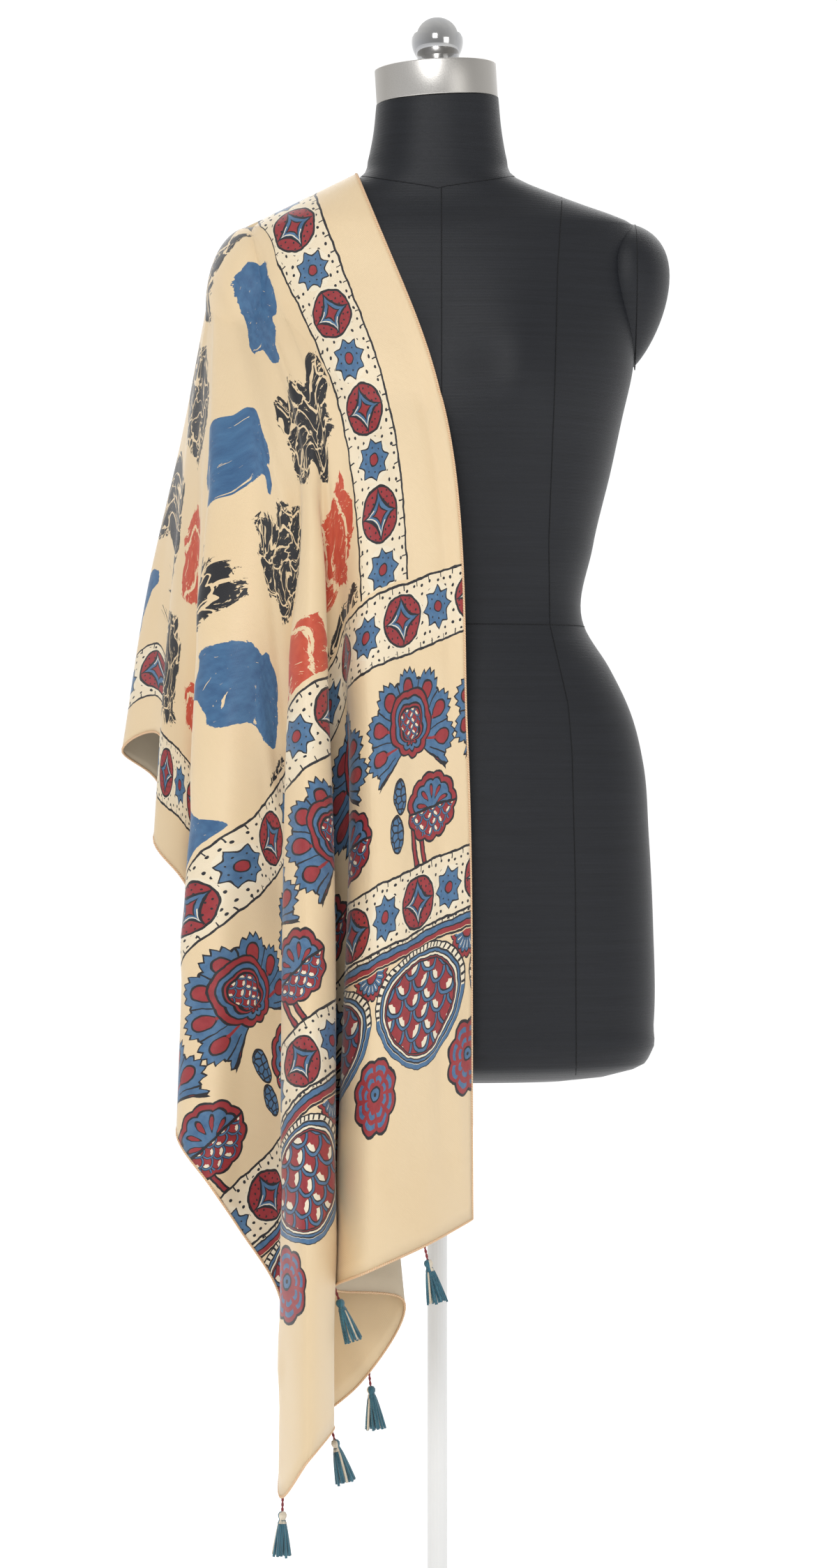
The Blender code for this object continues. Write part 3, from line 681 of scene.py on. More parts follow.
def band(cloth, s, t):
    """Medallions and flowers by turns between two wavy lines, with dots; s runs along, t across."""
    inside = abs(t) < BAND_HALF
    cloth.lay("pale", inside * 0.7)
    spots = cells(s * 0.85, t, 0.0085, 0.45) < 0.00135
    cloth.lay("black", spots * (abs(t) < BAND_HALF - 0.003))
    hooks = (abs(s.wrapped(0.0160)) < 0.0006) * (abs(t) > BAND_HALF - 0.0055) * inside
    cloth.lay("black", hooks)
    flower_s = (s - 0.022).wrapped(0.096)
    medallion_s = (s - 0.070).wrapped(0.096)
    clear = most((distance(flower_s, t) - 0.0200) * -1, (distance(medallion_s * 0.85, t) - 0.0235) * -1) > 0
    cloth.lay("pale", clear)
    small_flower(cloth, flower_s, t)
    medallion(cloth, medallion_s, t)
    cloth.lay("black", abs(t).near(BAND_HALF, 0.0011))


def scales(cloth, x, y, pitch, where):
    """Rows of overlapping scales, each with a blue rim and a seed."""
    half = pitch / 2
    row = calc("FLOOR", y * (1 / half))
    shift = calc("MODULO", abs(row), 2.0) * half
    across = (x + shift).wrapped(pitch)
    down = y - row * half
    out = distance(across, down)
    here = out < half
    lower = distance((x + shift + half).wrapped(pitch), down + half)
    reach = choose(here, out, lower)
    colour = calc("MODULO", calc("FLOOR", (x + shift) * (1 / pitch)) + row + 20.0, 2.0)
    cloth.lay("red", where)
    cloth.lay("pale", where * (colour > 0.5) * here)
    cloth.lay("blue", where * reach.near(half * 0.86, half * 0.13))
    cloth.lay("black", where * reach.near(half, half * 0.07))
    cloth.lay("black", where * reach.near(half * 0.70, half * 0.05))
    cloth.lay("red", where * (reach < half * 0.26))


def fan_flower(cloth, x, y):
    """A large blue fan of toothed lobes with red petals round a drop; up is towards -y."""
    rise = (y - 0.014) * -1
    turn = angle(rise, x)
    out = distance(x, rise)
    lobe = turn.wrapped(0.5818) * (1 / 0.2909)
    edge = out - 0.0490 - (1 - lobe * lobe) * 0.0100 - turn.teeth(0.1160) * 0.0045
    spread = abs(turn) - 2.20
    fan = most(edge, spread * 0.03)
    cloth.fill("blue", fan, 0.0010)
    cloth.lay("black", (abs(lobe) > 0.945) * (out > 0.028) * (fan < 0))
    petal = distance((out - 0.0440) * (1 / 0.0098), lobe * (1 / 0.52))
    cloth.lay("red", (petal < 1) * (fan < 0))
    cloth.lay("black", petal.near(1, 0.10) * (fan < 0))
    cloth.lay("red", (abs(lobe) < 0.16) * (out < 0.035) * (fan < 0))
    petals = distance(x * (1 / 0.0270), (y + 0.001) * (1 / 0.0285)) - 1 - abs(calc("SINE", turn * 3.5)) * 0.10
    cloth.fill("red", petals, 0.035)
    cloth.fill("blue", petals + 0.22, 0.030)
    cloth.fill("red", petals + 0.40, 0.030)
    scales(cloth, x, y, 0.0105, petals < -0.52)
    cloth.lay("black", petals.near(-0.52, 0.035))


def rose(cloth, x, y):
    """A round scalloped flower with a blue upper half, a scaled lower half and two stems."""
    for side in (-0.0042, 0.0042):
        stem = abs(x - 0.017 - side + (y - 0.016) ** 2.0 * 6.0) - 0.0019
        cloth.fill("red", most(stem, abs(y - 0.014) - 0.022), 0.0007)
    turn = angle(x, y)
    out = distance(x * 0.98, y * 1.04)
    edge = out - 0.0235 - abs(calc("SINE", turn * 5.5)) * 0.0022
    cloth.fill("red", edge, 0.0008)
    upper = most(edge + 0.0050, y - 0.001)
    cloth.fill("blue", upper, 0.0007)
    rays = angle(y * -1 + 0.002, x)
    seed = distance((out - 0.0110) * (1 / 0.0052), rays.wrapped(0.62) * (1 / 0.13))
    cloth.lay("red", (seed < 1) * (upper < 0))
    cloth.lay("black", seed.near(1, 0.16) * (upper < 0))
    scales(cloth, x, y, 0.0105, (edge < -0.0030) * (y > 0.0015))
    cloth.lay("black", (y - 0.0015).near(0, 0.0008) * (edge < 0))


def berries(cloth, x, y):
    bunch = distance(x * (1 / 0.0085), y * (1 / 0.0150)) < 1
    berry = cells(x, y, 0.0062, 0.55, "DISTANCE_TO_EDGE")
    cloth.lay("blue", bunch)
    cloth.lay("black", bunch * (berry < 0.0007))
    cloth.lay("black", distance(x * (1 / 0.0085), y * (1 / 0.0150)).near(1, 0.07))


def stripes(cloth, w):
    for middle, half, ink in ((-0.0085, 0.0011, "black"), (-0.0045, 0.0009, "black"),
                              (-0.0015, 0.0024, "blue"), (0.0032, 0.0022, "red"),
                              (0.0008, 0.0006, "black"), (0.0070, 0.0010, "black")):
        cloth.lay(ink, w.near(middle, half))


def shell(cloth, x, y):
    """A wide scaled shell under a combed arch; up is towards -y."""
    narrow = calc("MULTIPLY_ADD", y, -4.5, 1.0)
    shape = distance(x * (1 / 0.0560) / narrow, y * (1 / 0.0440))
    turn = angle(x, y)
    comb = shape.near(1.15, 0.050) * (turn.wrapped(0.1047).near(0, 0.018)) * (y < -0.004)
    cloth.fill("pale", shape - 1.20, 0.014)
    cloth.lay("black", comb)
    cloth.lay("blue", shape.near(1.15, 0.045) * (y > -0.004))
    cloth.fill("blue", shape - 1.08, 0.016)
    cloth.fill("pale", shape - 1.01, 0.012)
    cloth.fill("red", shape - 0.95, 0.012)
    scales(cloth, x, y, 0.0270, shape < 0.91)
    cloth.lay("black", shape.near(0.91, 0.014))


def half_fan(cloth, x, y):
    out = distance(x, y)
    lobe = angle(x, y).wrapped(0.3927) * (1 / 0.1963)
    edge = out - 0.0215 - (1 - lobe * lobe) * 0.0030
    cloth.fill("red", edge, 0.0009)
    cloth.fill("blue", edge + 0.0055, 0.0008)
    cloth.lay("black", (abs(lobe) > 0.86) * (edge < -0.0055) * (out > 0.007))
    cloth.lay("pale", (abs(lobe) < 0.15) * out.near(0.0125, 0.0030))
    cloth.fill("red", out - 0.0070, 0.0007)


def bud(cloth, x, y):
    """A small red scalloped flower with blue arcs."""
    turn = angle(x, y)
    out = distance(x * 1.08, y * 0.90)
    edge = out - 0.0215 - abs(calc("SINE", turn * 4)) * 0.0030
    cloth.fill("red", edge, 0.0010)
    for ring, half in ((0.0165, 0.0016), (0.0098, 0.0015)):
        arc = (out - ring - abs(calc("SINE", turn * 4)) * 0.0022).near(0, half)
        cloth.lay("blue", arc * (abs(turn.wrapped(math.pi / 4)) > 0.10))
    cloth.fill("blue", distance(x, y + 0.002) - 0.0048, 0.0007)
    cloth.lay("black", distance(x, y + 0.002) < 0.0014)


def dabs(cloth, u, v, where):
    """Staggered brush dabs on the field: crackled black blocks, blue ovals and paired orange strokes."""
    column_of = calc("FLOOR", (u - 0.105) * (1 / 0.122))
    stagger = calc("MODULO", column_of, 2.0) * 0.060
    row_of = calc("FLOOR", (v + stagger + 2.0) * (1 / 0.120))
    pick = calc("MODULO", column_of * 3.0 + row_of, 4.0)
    hashed = cloth.tree.nodes.new("ShaderNodeTexWhiteNoise")
    hashed.noise_dimensions = "2D"
    cloth.tree.links.new(vector(column_of, row_of), hashed.inputs["Vector"])
    apart = cloth.tree.nodes.new("ShaderNodeSeparateColor")
    cloth.tree.links.new(hashed.outputs["Color"], apart.inputs[0])
    luck = [Field(cloth.tree, socket) for socket in apart.outputs]
    a = u - 0.166 - column_of * 0.122 - (luck[0] - 0.5) * 0.016
    b = (v + stagger + 2.0) - 0.060 - row_of * 0.120 - (luck[1] - 0.5) * 0.014
    tilt = (luck[2] - 0.5) * 0.7
    x = a + b * tilt + (grain(u, v, 21.0, 1.0) - 0.5) * 0.050
    y = b - a * tilt + (grain(v, u, 23.0, 1.0) - 0.5) * 0.050
    fray = (grain(x, y, 190.0, 3.0, 0.65) - 0.5) * 0.020
    dry = grain(x * 0.5, y * 1.6, 150.0, 4.0, 0.72)
    bend = grain(x, y, 60.0, 2.0) * 0.020
    crack = cells(x + bend, y - bend, 0.021, 1.0, "DISTANCE_TO_EDGE")
    black = (calc("MODULO", pick, 2.0) < 0.5) * where
    block = distance(most(abs(x) - 0.022, 0.0), most(abs(y) - 0.020, 0.0)) - 0.026 + fray
    cloth.lay("soot", black * (block < 0) * (dry > 0.37) * (crack > 0.0011))
    blue = pick.near(1, 0.4) * where
    oval = distance(x * (1 / 0.035), y * (1 / 0.046)) - 1 + fray * 7.0
    cloth.lay("brush_blue", blue * (oval < 0) * (dry > 0.30))
    orange = (pick > 2.5) * where
    stroke = most(abs((x + y * 0.4).wrapped(0.040)) - 0.0172, distance(x, y) - 0.0440) + fray * 0.8
    cloth.lay("orange", orange * (stroke < 0) * (dry > 0.36))


def print_inks(cloth, u, v):
    blot = grain(u, v, 120.0, 3.0, 0.6)
    tree = cloth.tree
    cloth.inks = {
        "red": mixed(tree, (0.23, 0.012, 0.018), (0.38, 0.035, 0.040), blot),
        "blue": mixed(tree, (0.022, 0.082, 0.190), (0.105, 0.225, 0.380), blot),
        "black": (0.010, 0.010, 0.014),
        "pale": (0.84, 0.74, 0.56),
        "soot": (0.012, 0.012, 0.015),
        "brush_blue": mixed(tree, (0.015, 0.062, 0.165), (0.070, 0.190, 0.350), blot),
        "orange": mixed(tree, (0.46, 0.040, 0.018), (0.62, 0.105, 0.045), blot),
    }


def printed_satin(ground):
    material = bpy.data.materials.new("printed_satin")
    material.use_nodes = True
    tree = material.node_tree
    shader = tree.nodes["Principled BSDF"]
    places = tree.nodes.new("ShaderNodeUVMap")
    places.uv_map = "sheet"
    apart = tree.nodes.new("ShaderNodeSeparateXYZ")
    tree.links.new(places.outputs[0], apart.inputs[0])
    true_u, true_v = (Field(tree, socket) for socket in apart.outputs[:2])
    shake = tree.nodes.new("ShaderNodeSeparateColor")
    tree.links.new(noise(tree, places.outputs[0], 70.0, 2.0).outputs["Color"], shake.inputs[0])
    u = true_u + (Field(tree, shake.outputs[0]) - 0.5) * 0.0034
    v = true_v + (Field(tree, shake.outputs[1]) - 0.5) * 0.0034
    sway = (grain(true_u, true_v, 9.0, 1.0) - 0.5) * 0.010
    age = grain(true_u, true_v, 6.0, 3.0, 0.6)
    cloth = Print(tree, mixed(tree, ground, tuple(c * f for c, f in zip(ground, (0.93, 0.88, 0.80))), age))
    print_inks(cloth, true_u, true_v)
    w = abs(v) + (v < 0) * (FRONT_END - BACK_END) + sway
    aside = least(u, STOLE_WIDTH - u)
    side_middle = SIDE_BAND + abs(v) * SIDE_BAND_DRIFT
    dabs(cloth, u, v, (w < BAND_A - BAND_HALF - 0.006) * (aside - side_middle > BAND_HALF + 0.004))
    upper, lower = w - BAND_A, w - BAND_B
    by_upper, by_lower = abs(upper) < BAND_HALF + 0.004, abs(lower) < BAND_HALF + 0.004
    crosswise = most(by_upper, by_lower)
    across = choose(by_lower, lower, upper)
    sideways = aside - side_middle + (w > BAND_A) * 1.0
    band(cloth, choose(crosswise, u - 0.012, v), choose(crosswise, across, sideways))
    row_x, row_y = (u - FAN_U).wrapped(FAN_PITCH), w - FAN_W
    berries(cloth, row_x - 0.022, row_y - 0.062)
    berries(cloth, row_x - 0.029, row_y - 0.092)
    fan_flower(cloth, row_x, row_y)
    rose(cloth, (u - FAN_U + 0.024).wrapped(FAN_PITCH) * 0.72, (row_y - 0.080) * 0.78)
    stripes(cloth, w - STRIPES_W)
    shell_u = u - SHELL_U
    half_u = (shell_u - SHELL_PITCH / 2).wrapped(SHELL_PITCH)
    below = w - STRIPES_W - 0.009
    half_fan(cloth, half_u, below - (below < 0) * 1.0)
    bud(cloth, half_u * 0.72, (w - SHELL_W - 0.060) * 0.80)
    shell(cloth, shell_u.wrapped(SHELL_PITCH), w - SHELL_W)
    tree.links.new(cloth.colour, shader.inputs["Base Color"])
    shader.inputs["Roughness"].default_value = 0.42
    shader.inputs["Sheen Weight"].default_value = 0.25
    shader.inputs["Sheen Roughness"].default_value = 0.4
    weave = calc("SINE", true_u * 7000.0) + calc("SINE", true_v * 7000.0) + grain(true_u, true_v * 0.2, 260.0) * 2.0
    bump = tree.nodes.new("ShaderNodeBump")
    bump.inputs["Distance"].default_value = 0.00006
    bump.inputs["Strength"].default_value = 0.6
    tree.links.new(weave.socket, bump.inputs["Height"])
    tree.links.new(bump.outputs[0], shader.inputs["Normal"])
    return material


def new_material(name, colour, roughness, metallic=0.0):
    material = bpy.data.materials.new(name)
    material.use_nodes = True
    shader = material.node_tree.nodes["Principled BSDF"]
    shader.inputs["Base Color"].default_value = (*colour, 1)
    shader.inputs["Roughness"].default_value = roughness
    shader.inputs["Metallic"].default_value = metallic
    return material, material.node_tree, shader


def raise_surface(tree, shader, height, distance_m, strength=1.0):
    bump = tree.nodes.new("ShaderNodeBump")
    bump.inputs["Distance"].default_value = distance_m
    bump.inputs["Strength"].default_value = strength
    tree.links.new(height.socket, bump.inputs["Height"])
    tree.links.new(bump.outputs[0], shader.inputs["Normal"])


def object_fields(tree):
    places = tree.nodes.new("ShaderNodeTexCoord")
    apart = tree.nodes.new("ShaderNodeSeparateXYZ")
    tree.links.new(places.outputs["Object"], apart.inputs[0])
    return [Field(tree, socket) for socket in apart.outputs]


def uv_fields(tree, name):
    places = tree.nodes.new("ShaderNodeUVMap")
    places.uv_map = name
    apart = tree.nodes.new("ShaderNodeSeparateXYZ")
    tree.links.new(places.outputs[0], apart.inputs[0])
    return [Field(tree, socket) for socket in apart.outputs[:2]]


def satin_underside(colour):
    material, tree, shader = new_material("satin_underside", colour, 0.6)
    u, v = uv_fields(tree, "sheet")
    worn = tuple(part * 0.84 for part in colour)
    tree.links.new(mixed(tree, colour, worn, grain(u, v, 14.0, 3.0, 0.6)), shader.inputs["Base Color"])
    shader.inputs["Sheen Weight"].default_value = 0.2
    threads = calc("SINE", u * 7000.0) + calc("SINE", v * 7000.0) + grain(u, v, 300.0)
    raise_surface(tree, shader, threads, 0.00006, 0.6)
    return material


def overlock_thread(colour, ground):
    material, tree, shader = new_material("overlock_thread", colour, 0.7)
    along, around = uv_fields(tree, "edge")
    stitch = calc("SINE", along * 2800.0 + around * 3.0)
    worn = grain(along, around * 0.001, 60.0, 2.0)
    tint = mixed(tree, tuple(part * 1.02 for part in ground), colour, (stitch > 0.1) * 0.75 + worn * 0.2)
    tree.links.new(tint, shader.inputs["Base Color"])
    raise_surface(tree, shader, stitch, 0.0003, 0.8)
    return material


def yarn(name, colour, pale):
    material, tree, shader = new_material(name, colour, 0.75)
    x, y, z = object_fields(tree)
    strand = grain(x + y * 0.7, z * 0.12, 520.0, 2.0)
    tree.links.new(mixed(tree, colour, pale, calc("MULTIPLY_ADD", strand, 1.6, -0.35, clamp=True)),
                   shader.inputs["Base Color"])
    shader.inputs["Sheen Weight"].default_value = 0.35
    shader.inputs["Sheen Roughness"].default_value = 0.5
    twist = calc("SINE", (x + y) * 5200.0 + z * 2600.0)
    raise_surface(tree, shader, twist + strand * 2.0, 0.0002, 0.7)
    return material


def jersey_cloth(colour):
    """Fine knit on the dress form: courses across, faint bars and lint."""
    material, tree, shader = new_material("form_jersey_cloth", colour, 0.62)
    x, y, z = object_fields(tree)
    lint = Field(tree, noise(tree, vector(x + y * 0.6, z), 900.0, 3.0, 0.6).outputs[0])
    bars = grain(x * 0.04, z, 240.0, 2.0, 0.5)
    light = tuple(part * 1.9 + 0.004 for part in colour)
    tree.links.new(mixed(tree, colour, light, calc("MULTIPLY_ADD", lint * bars, 1.5, -0.10, clamp=True)),
                   shader.inputs["Base Color"])
    shader.inputs["Sheen Weight"].default_value = 0.08
    shader.inputs["Sheen Roughness"].default_value = 0.35
    shader.inputs["Specular IOR Level"].default_value = 0.35
    rough = calc("MULTIPLY_ADD", lint, 0.16, 0.40)
    tree.links.new(rough.socket, shader.inputs["Roughness"])
    courses = calc("SINE", z * 5200.0) * 0.5 + lint * 1.5
    raise_surface(tree, shader, courses, 0.00012, 0.7)
    return material


def seam_thread(colour):
    dark = tuple(part * 0.5 for part in colour)
    material, tree, shader = new_material("seam_thread", dark, 0.85)
    x, y, z = object_fields(tree)
    stitch = calc("SINE", (x + y + z) * 2100.0)
    raise_surface(tree, shader, stitch, 0.0002, 0.8)
    return material


def brushed_steel():
    """Steel brushed round the neck cap, with soft upright bars of painted reflection in its colour."""
    material, tree, shader = new_material("brushed_steel_painted_reflections", (0.60, 0.585, 0.56), 0.30, 1.0)
    x, y, z = object_fields(tree)
    line = grain(angle(x, y) * 0.05, z, 900.0, 3.0, 0.6)
    # bars: three light and three dark upright bands round the cap, painted reflections of the studio mixed into the
    # base colour as dark and light copies of the steel
    bars = calc("SINE", angle(x, y) * 3.0 + 0.9) * 0.5 + line * 0.5
    tree.links.new(mixed(tree, (0.46, 0.44, 0.41), (0.74, 0.72, 0.69), bars), shader.inputs["Base Color"])
    rough = calc("MULTIPLY_ADD", line, 0.16, 0.26)
    tree.links.new(rough.socket, shader.inputs["Roughness"])
    shader.inputs["Anisotropic"].default_value = 0.5
    raise_surface(tree, shader, line, 0.00008, 0.5)
    return material


def polished_steel():
    material, tree, shader = new_material("polished_steel_painted_reflections", (0.66, 0.66, 0.66), 0.08, 1.0)
    x, y, z = object_fields(tree)
    # Noise patches: in the base colour, dark grey-blue and pale patches are painted reflections on the chrome; in
    # the roughness, the same noise gives smears.
    smear_and_painted_reflection = grain(x + y, z, 40.0, 3.0, 0.6)
    tree.links.new(mixed(tree, (0.40, 0.41, 0.44), (0.66, 0.65, 0.62), smear_and_painted_reflection), shader.inputs["Base Color"])
    tree.links.new(calc("MULTIPLY_ADD", smear_and_painted_reflection, 0.12, 0.03).socket, shader.inputs["Roughness"])
    return material


def stand_enamel(colour):
    material, tree, shader = new_material("stand_enamel_finish", colour, 0.35)
    x, y, z = object_fields(tree)
    peel = grain(x + z * 0.7, y + z * 0.3, 220.0, 2.0)
    scuffs = calc("MULTIPLY_ADD", grain(x, y, 30.0, 4.0, 0.7), 3.0, -1.9, clamp=True)
    tree.links.new(mixed(tree, colour, tuple(part * 0.86 for part in colour), scuffs),
                   shader.inputs["Base Color"])
    tree.links.new(calc("MULTIPLY_ADD", peel, 0.15, 0.27).socket, shader.inputs["Roughness"])
    raise_surface(tree, shader, peel, 0.0001, 0.5)
    return material


def link(name, mesh, materials):
    thing = bpy.data.objects.new(name, mesh)
    bpy.context.scene.collection.objects.link(thing)
    for material in materials:
        mesh.materials.append(material)
    return thing


def only(thing):
    """Selects one object and nothing else."""
    bpy.ops.object.select_all(action="DESELECT")
    bpy.context.view_layer.objects.active = thing
    thing.select_set(True)


def apply_modifiers(thing):
    only(thing)
    for modifier in list(thing.modifiers):
        bpy.ops.object.modifier_apply(modifier=modifier.name)


def settle(thing):
    """Puts a finished piece's place, turn and size into its mesh."""
    only(thing)
    bpy.ops.object.transform_apply(location=True, rotation=True, scale=True)


def tube(shape, path, radius, sides, closed=False, uv=None):
    """A round tube along a row of points, with its running length in the UV map."""
    path = np.asarray(path, float)
    along = chord_knots(path)
    if closed:
        tangents = np.roll(path, -1, axis=0) - np.roll(path, 1, axis=0)
    else:
        tangents = np.gradient(path, axis=0)
    rings = []
    side = None
    for place, tangent in zip(path, tangents):
        tangent = Vector(tangent).normalized()
        if side is None:
            side = tangent.orthogonal()
        side = (side - tangent * side.dot(tangent)).normalized()
        other = tangent.cross(side)
        rings.append([shape.verts.new(Vector(place) + (side * math.cos(turn) + other * math.sin(turn)) * radius)
                      for turn in (2 * math.pi * k / sides for k in range(sides))])
    pairs = list(zip(rings, rings[1:])) + ([(rings[-1], rings[0])] if closed else [])
    for number, (near, far) in enumerate(pairs):
        for k in range(sides):
            after = (k + 1) % sides
            face = shape.faces.new((near[k], near[after], far[after], far[k]))
            face.smooth = True
            if uv:
                end = along[number + 1] if number + 1 < len(along) else along[-1]
                spots = ((along[number], k), (along[number], k + 1), (end, k + 1), (end, k))
                for loop, spot in zip(face.loops, spots):
                    loop[uv].uv = spot
    if not closed:
        shape.faces.new(rings[0][::-1])
        shape.faces.new(rings[-1])


class STOLE_OT_overlock(bpy.types.Operator):
    """Sew the narrow overlocked edge round the stole"""
    bl_idname = "stole.overlock"
    bl_label = "Overlocked edge"

    def execute(self, context):
        settings = context.scene.stole
        grid, _, _ = cloth_grid()
        loop = np.concatenate((grid[:, 0], grid[-1, 1:], grid[-2::-1, -1]))
        normals = surface_normals(grid)
        lift = np.concatenate((normals[:, 0], normals[-1, 1:], normals[-2::-1, -1]))
        shape = bmesh.new()
        uv = shape.loops.layers.uv.new("edge")
        tube(shape, loop + lift * settings.wall / 2, settings.hem_radius, 6, True, uv)
        bmesh.ops.recalc_face_normals(shape, faces=shape.faces)
        mesh = bpy.data.meshes.new("overlock")
        shape.to_mesh(mesh)
        shape.free()
        edge = link("overlock", mesh, [overlock_thread(tuple(settings.stitching), tuple(settings.ground))])
        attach(edge, "root")
        return {"FINISHED"}


def hem_places(front):
    """The places along a short end's hem, in order of u."""
    grid, sheet, steps = cloth_grid()
    names = ("inner_edge", "front_tip") if front else ("back_tip", "back_inner_edge")
    first, last = (int(np.argmin(np.abs(steps - fold_index(name)))) for name in names)
    row = np.column_stack((grid[-1], sheet[-1, :, 0]))[first:last + 1]
    return row if front else row[::-1]


def tassel_mesh(settings):
    """A twisted cord, a tied head and a skirt of loose strands, hanging from the origin."""
    shape = bmesh.new()
    turns = np.linspace(0, 1, 16)
    for phase in (0, math.pi):
        spin = turns * 9 + phase
        tube(shape, np.column_stack((0.0006 * np.cos(spin), 0.0006 * np.sin(spin), -turns * settings.cord)),
             0.0007, 5)
    cord_faces = len(shape.faces)
    top = -settings.cord + 0.0008
    profile = ((0.0006, 0.0), (0.0030, -0.0010), (0.0041, -0.0032), (0.0039, -0.0052), (0.0031, -0.0066),
               (0.0029, -0.0076), (0.0035, -0.0088), (0.0042, -0.0110))
    rings = [[shape.verts.new((radius * math.cos(turn), radius * math.sin(turn), top + drop))
              for turn in (2 * math.pi * k / 14 for k in range(14))] for radius, drop in profile]
    for upper, lower in zip(rings, rings[1:]):
        for k in range(14):
            face = shape.faces.new((upper[k], lower[k], lower[(k + 1) % 14], upper[(k + 1) % 14]))
            face.smooth = True
    shape.faces.new(rings[0])
    shape.faces.new(rings[-1][::-1])
    head_faces = len(shape.faces)
    start = top - 0.0080
    pale_from = []
    for number in range(settings.strands):
        outer = number < settings.strands * 0.62
        spread = 0.0092 if outer else 0.0048
        turn = number * 2.39996 if not outer else 2 * math.pi * number / round(settings.strands * 0.62)
        wave = math.sin(number * 1.7)
        steps = np.linspace(0, 1, 7)
        reach = 0.0022 + (spread - 0.0022) * steps ** 0.8
        swing = turn + 0.18 * wave * steps
        drop = settings.skirt * (1 - 0.07 * abs(math.sin(number * 2.3)))
        path = np.column_stack((reach * np.cos(swing), reach * np.sin(swing) * 0.8, start - drop * steps))
        before = len(shape.faces)
        tube(shape, path, 0.00125, 4)
        if number % 7 == 3:
            pale_from.append((before, len(shape.faces)))
    bmesh.ops.recalc_face_normals(shape, faces=shape.faces)
    shape.faces.ensure_lookup_table()
    for index, face in enumerate(shape.faces):
        if index < cord_faces:
            face.material_index = 0
        elif index < head_faces:
            face.material_index = 2 if face.calc_center_median().x > 0.0008 else 1
        else:
            face.material_index = 2 if any(a <= index < b for a, b in pale_from) else 1
    mesh = bpy.data.meshes.new("yarn_tassel")
    shape.to_mesh(mesh)
    shape.free()
    return mesh


class STOLE_OT_tassels(bpy.types.Operator):
    """Hang five tassels on each short end of the stole"""
    bl_idname = "stole.tassels"
    bl_label = "Tassels"

    def execute(self, context):
        settings = context.scene.stole_tassels
        pattern = tassel_mesh(settings)
        finishes = (yarn("cord_red", tuple(settings.cord_colour), (0.32, 0.03, 0.04)),
                    yarn("yarn_teal", tuple(settings.yarn), (0.05, 0.20, 0.27)),
                    yarn("yarn_cream", (0.62, 0.52, 0.38), (0.80, 0.72, 0.58)))
        ends = (("tassel_front", True, FRONT_INSET, FRONT_LEANS),
                ("tassel_back", False, BACK_INSET, BACK_LEANS))
        for stem, front, inset, leans in ends:
            hem = hem_places(front)
            for number, lean in enumerate(leans):
                share = (number + inset) / (TASSEL_COUNT - 1 + inset)
                u = STOLE_WIDTH * min(share, TASSEL_LAST)
                top = Vector(np.interp(u, hem[:, 3], hem[:, axis]) for axis in range(3))
                tassel = link(f"yarn_{stem}_{number + 1}", pattern.copy(), finishes)
                turn = Matrix.Rotation(-lean, 4, "Y") @ Matrix.Rotation(number * 1.3, 4, "Z")
                tassel.data.transform(Matrix.Translation(top - Vector((0, 0, CORD_DROP))) @ turn)
                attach(tassel, "root")
                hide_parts(f"{stem}_{number + 1}")
        bpy.data.meshes.remove(pattern)
        return {"FINISHED"}


class STOLE_OT_cloth(bpy.types.Operator):
    """Drape the printed satin over the left shoulder"""
    bl_idname = "stole.cloth"
    bl_label = "Stole"

    def execute(self, context):
        settings = context.scene.stole
        mesh = build_cloth_mesh(*cloth_grid())
        cloth = link("stole", mesh, (printed_satin(tuple(settings.ground)),
                                     satin_underside(tuple(settings.underside))))
        wall = cloth.modifiers.new("wall", "SOLIDIFY")
        wall.thickness = settings.wall
        wall.offset = 1
        wall.material_offset = 1
        apply_modifiers(cloth)
        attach(cloth, "root")
        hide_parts("stole_front", "stole_side", "stole_back")
        trimmings = [thing for thing in context.scene.objects
                     if thing.name == "overlock" or thing.name.startswith("yarn_tassel")]
        if len(trimmings) != 2 * TASSEL_COUNT + 1:
            raise RuntimeError("the edge and the tassels are made before the cloth")
        return {"FINISHED"}


def smooth_size(name, z):
    heights = column(FORM, FORM_COLUMNS, "z")[::-1]
    values = np.array(column(FORM, FORM_COLUMNS, name)[::-1])[:, None]
    return spline(heights, values, np.atleast_1d(z))[:, 0]


def form_place(turn, z):
    """A place on the dress form's skin at a turn about its axis and a height."""
    cosine, sine = math.cos(turn), math.sin(turn)
    share_x = math.copysign(abs(cosine) ** (2 / SQUARENESS), cosine)
    share_y = math.copysign(abs(sine) ** (2 / SQUARENESS), sine)
    x = share_x * smooth_size("right" if cosine > 0 else "left", z)[0]
    y = share_y * smooth_size("back" if sine > 0 else "front", z)[0]
    if sine < 0:
        y -= float(BUST_RISE * math.exp(-((abs(x) - BUST_X) / BUST_SPREAD_X) ** 2
                                        - ((z - BUST_HEIGHT) / BUST_SPREAD_Z) ** 2)) * abs(share_y)
    neck = min(max((z - NECK_BASE_Z) / (NECK_TOP_Z - NECK_BASE_Z), 0), 1)
    return x, y, z + x * math.tan(NECK_TILT) * neck


def seam_turn(x, z, front):
    """The turn about the axis at which the form's skin stands at x."""
    side = smooth_size("right" if x > 0 else "left", z)[0]
    share = min(abs(x) / side, 1)
    turn = math.acos(share ** (SQUARENESS / 2))
    turn = turn if x > 0 else math.pi - turn
    return -turn if front else turn


def cap_mesh_places(cap):
    """A padded cap over an armhole, pointed like its solid."""
    name, x, z, half_x, half_y, half_z, point, rise = cap
    bpy.ops.object.select_all(action="DESELECT")
    bpy.ops.mesh.primitive_uv_sphere_add(segments=48, ring_count=32, radius=1)
    thing = bpy.context.object
    for vert in thing.data.vertices:
        a, b, c = vert.co
        narrow = max(1 - c * c, 0) ** point
        vert.co = (x + a * narrow * half_x, b * narrow * half_y, z + (c + rise * (1 - c * c)) * half_z)
    bpy.ops.object.shade_smooth()
    return thing


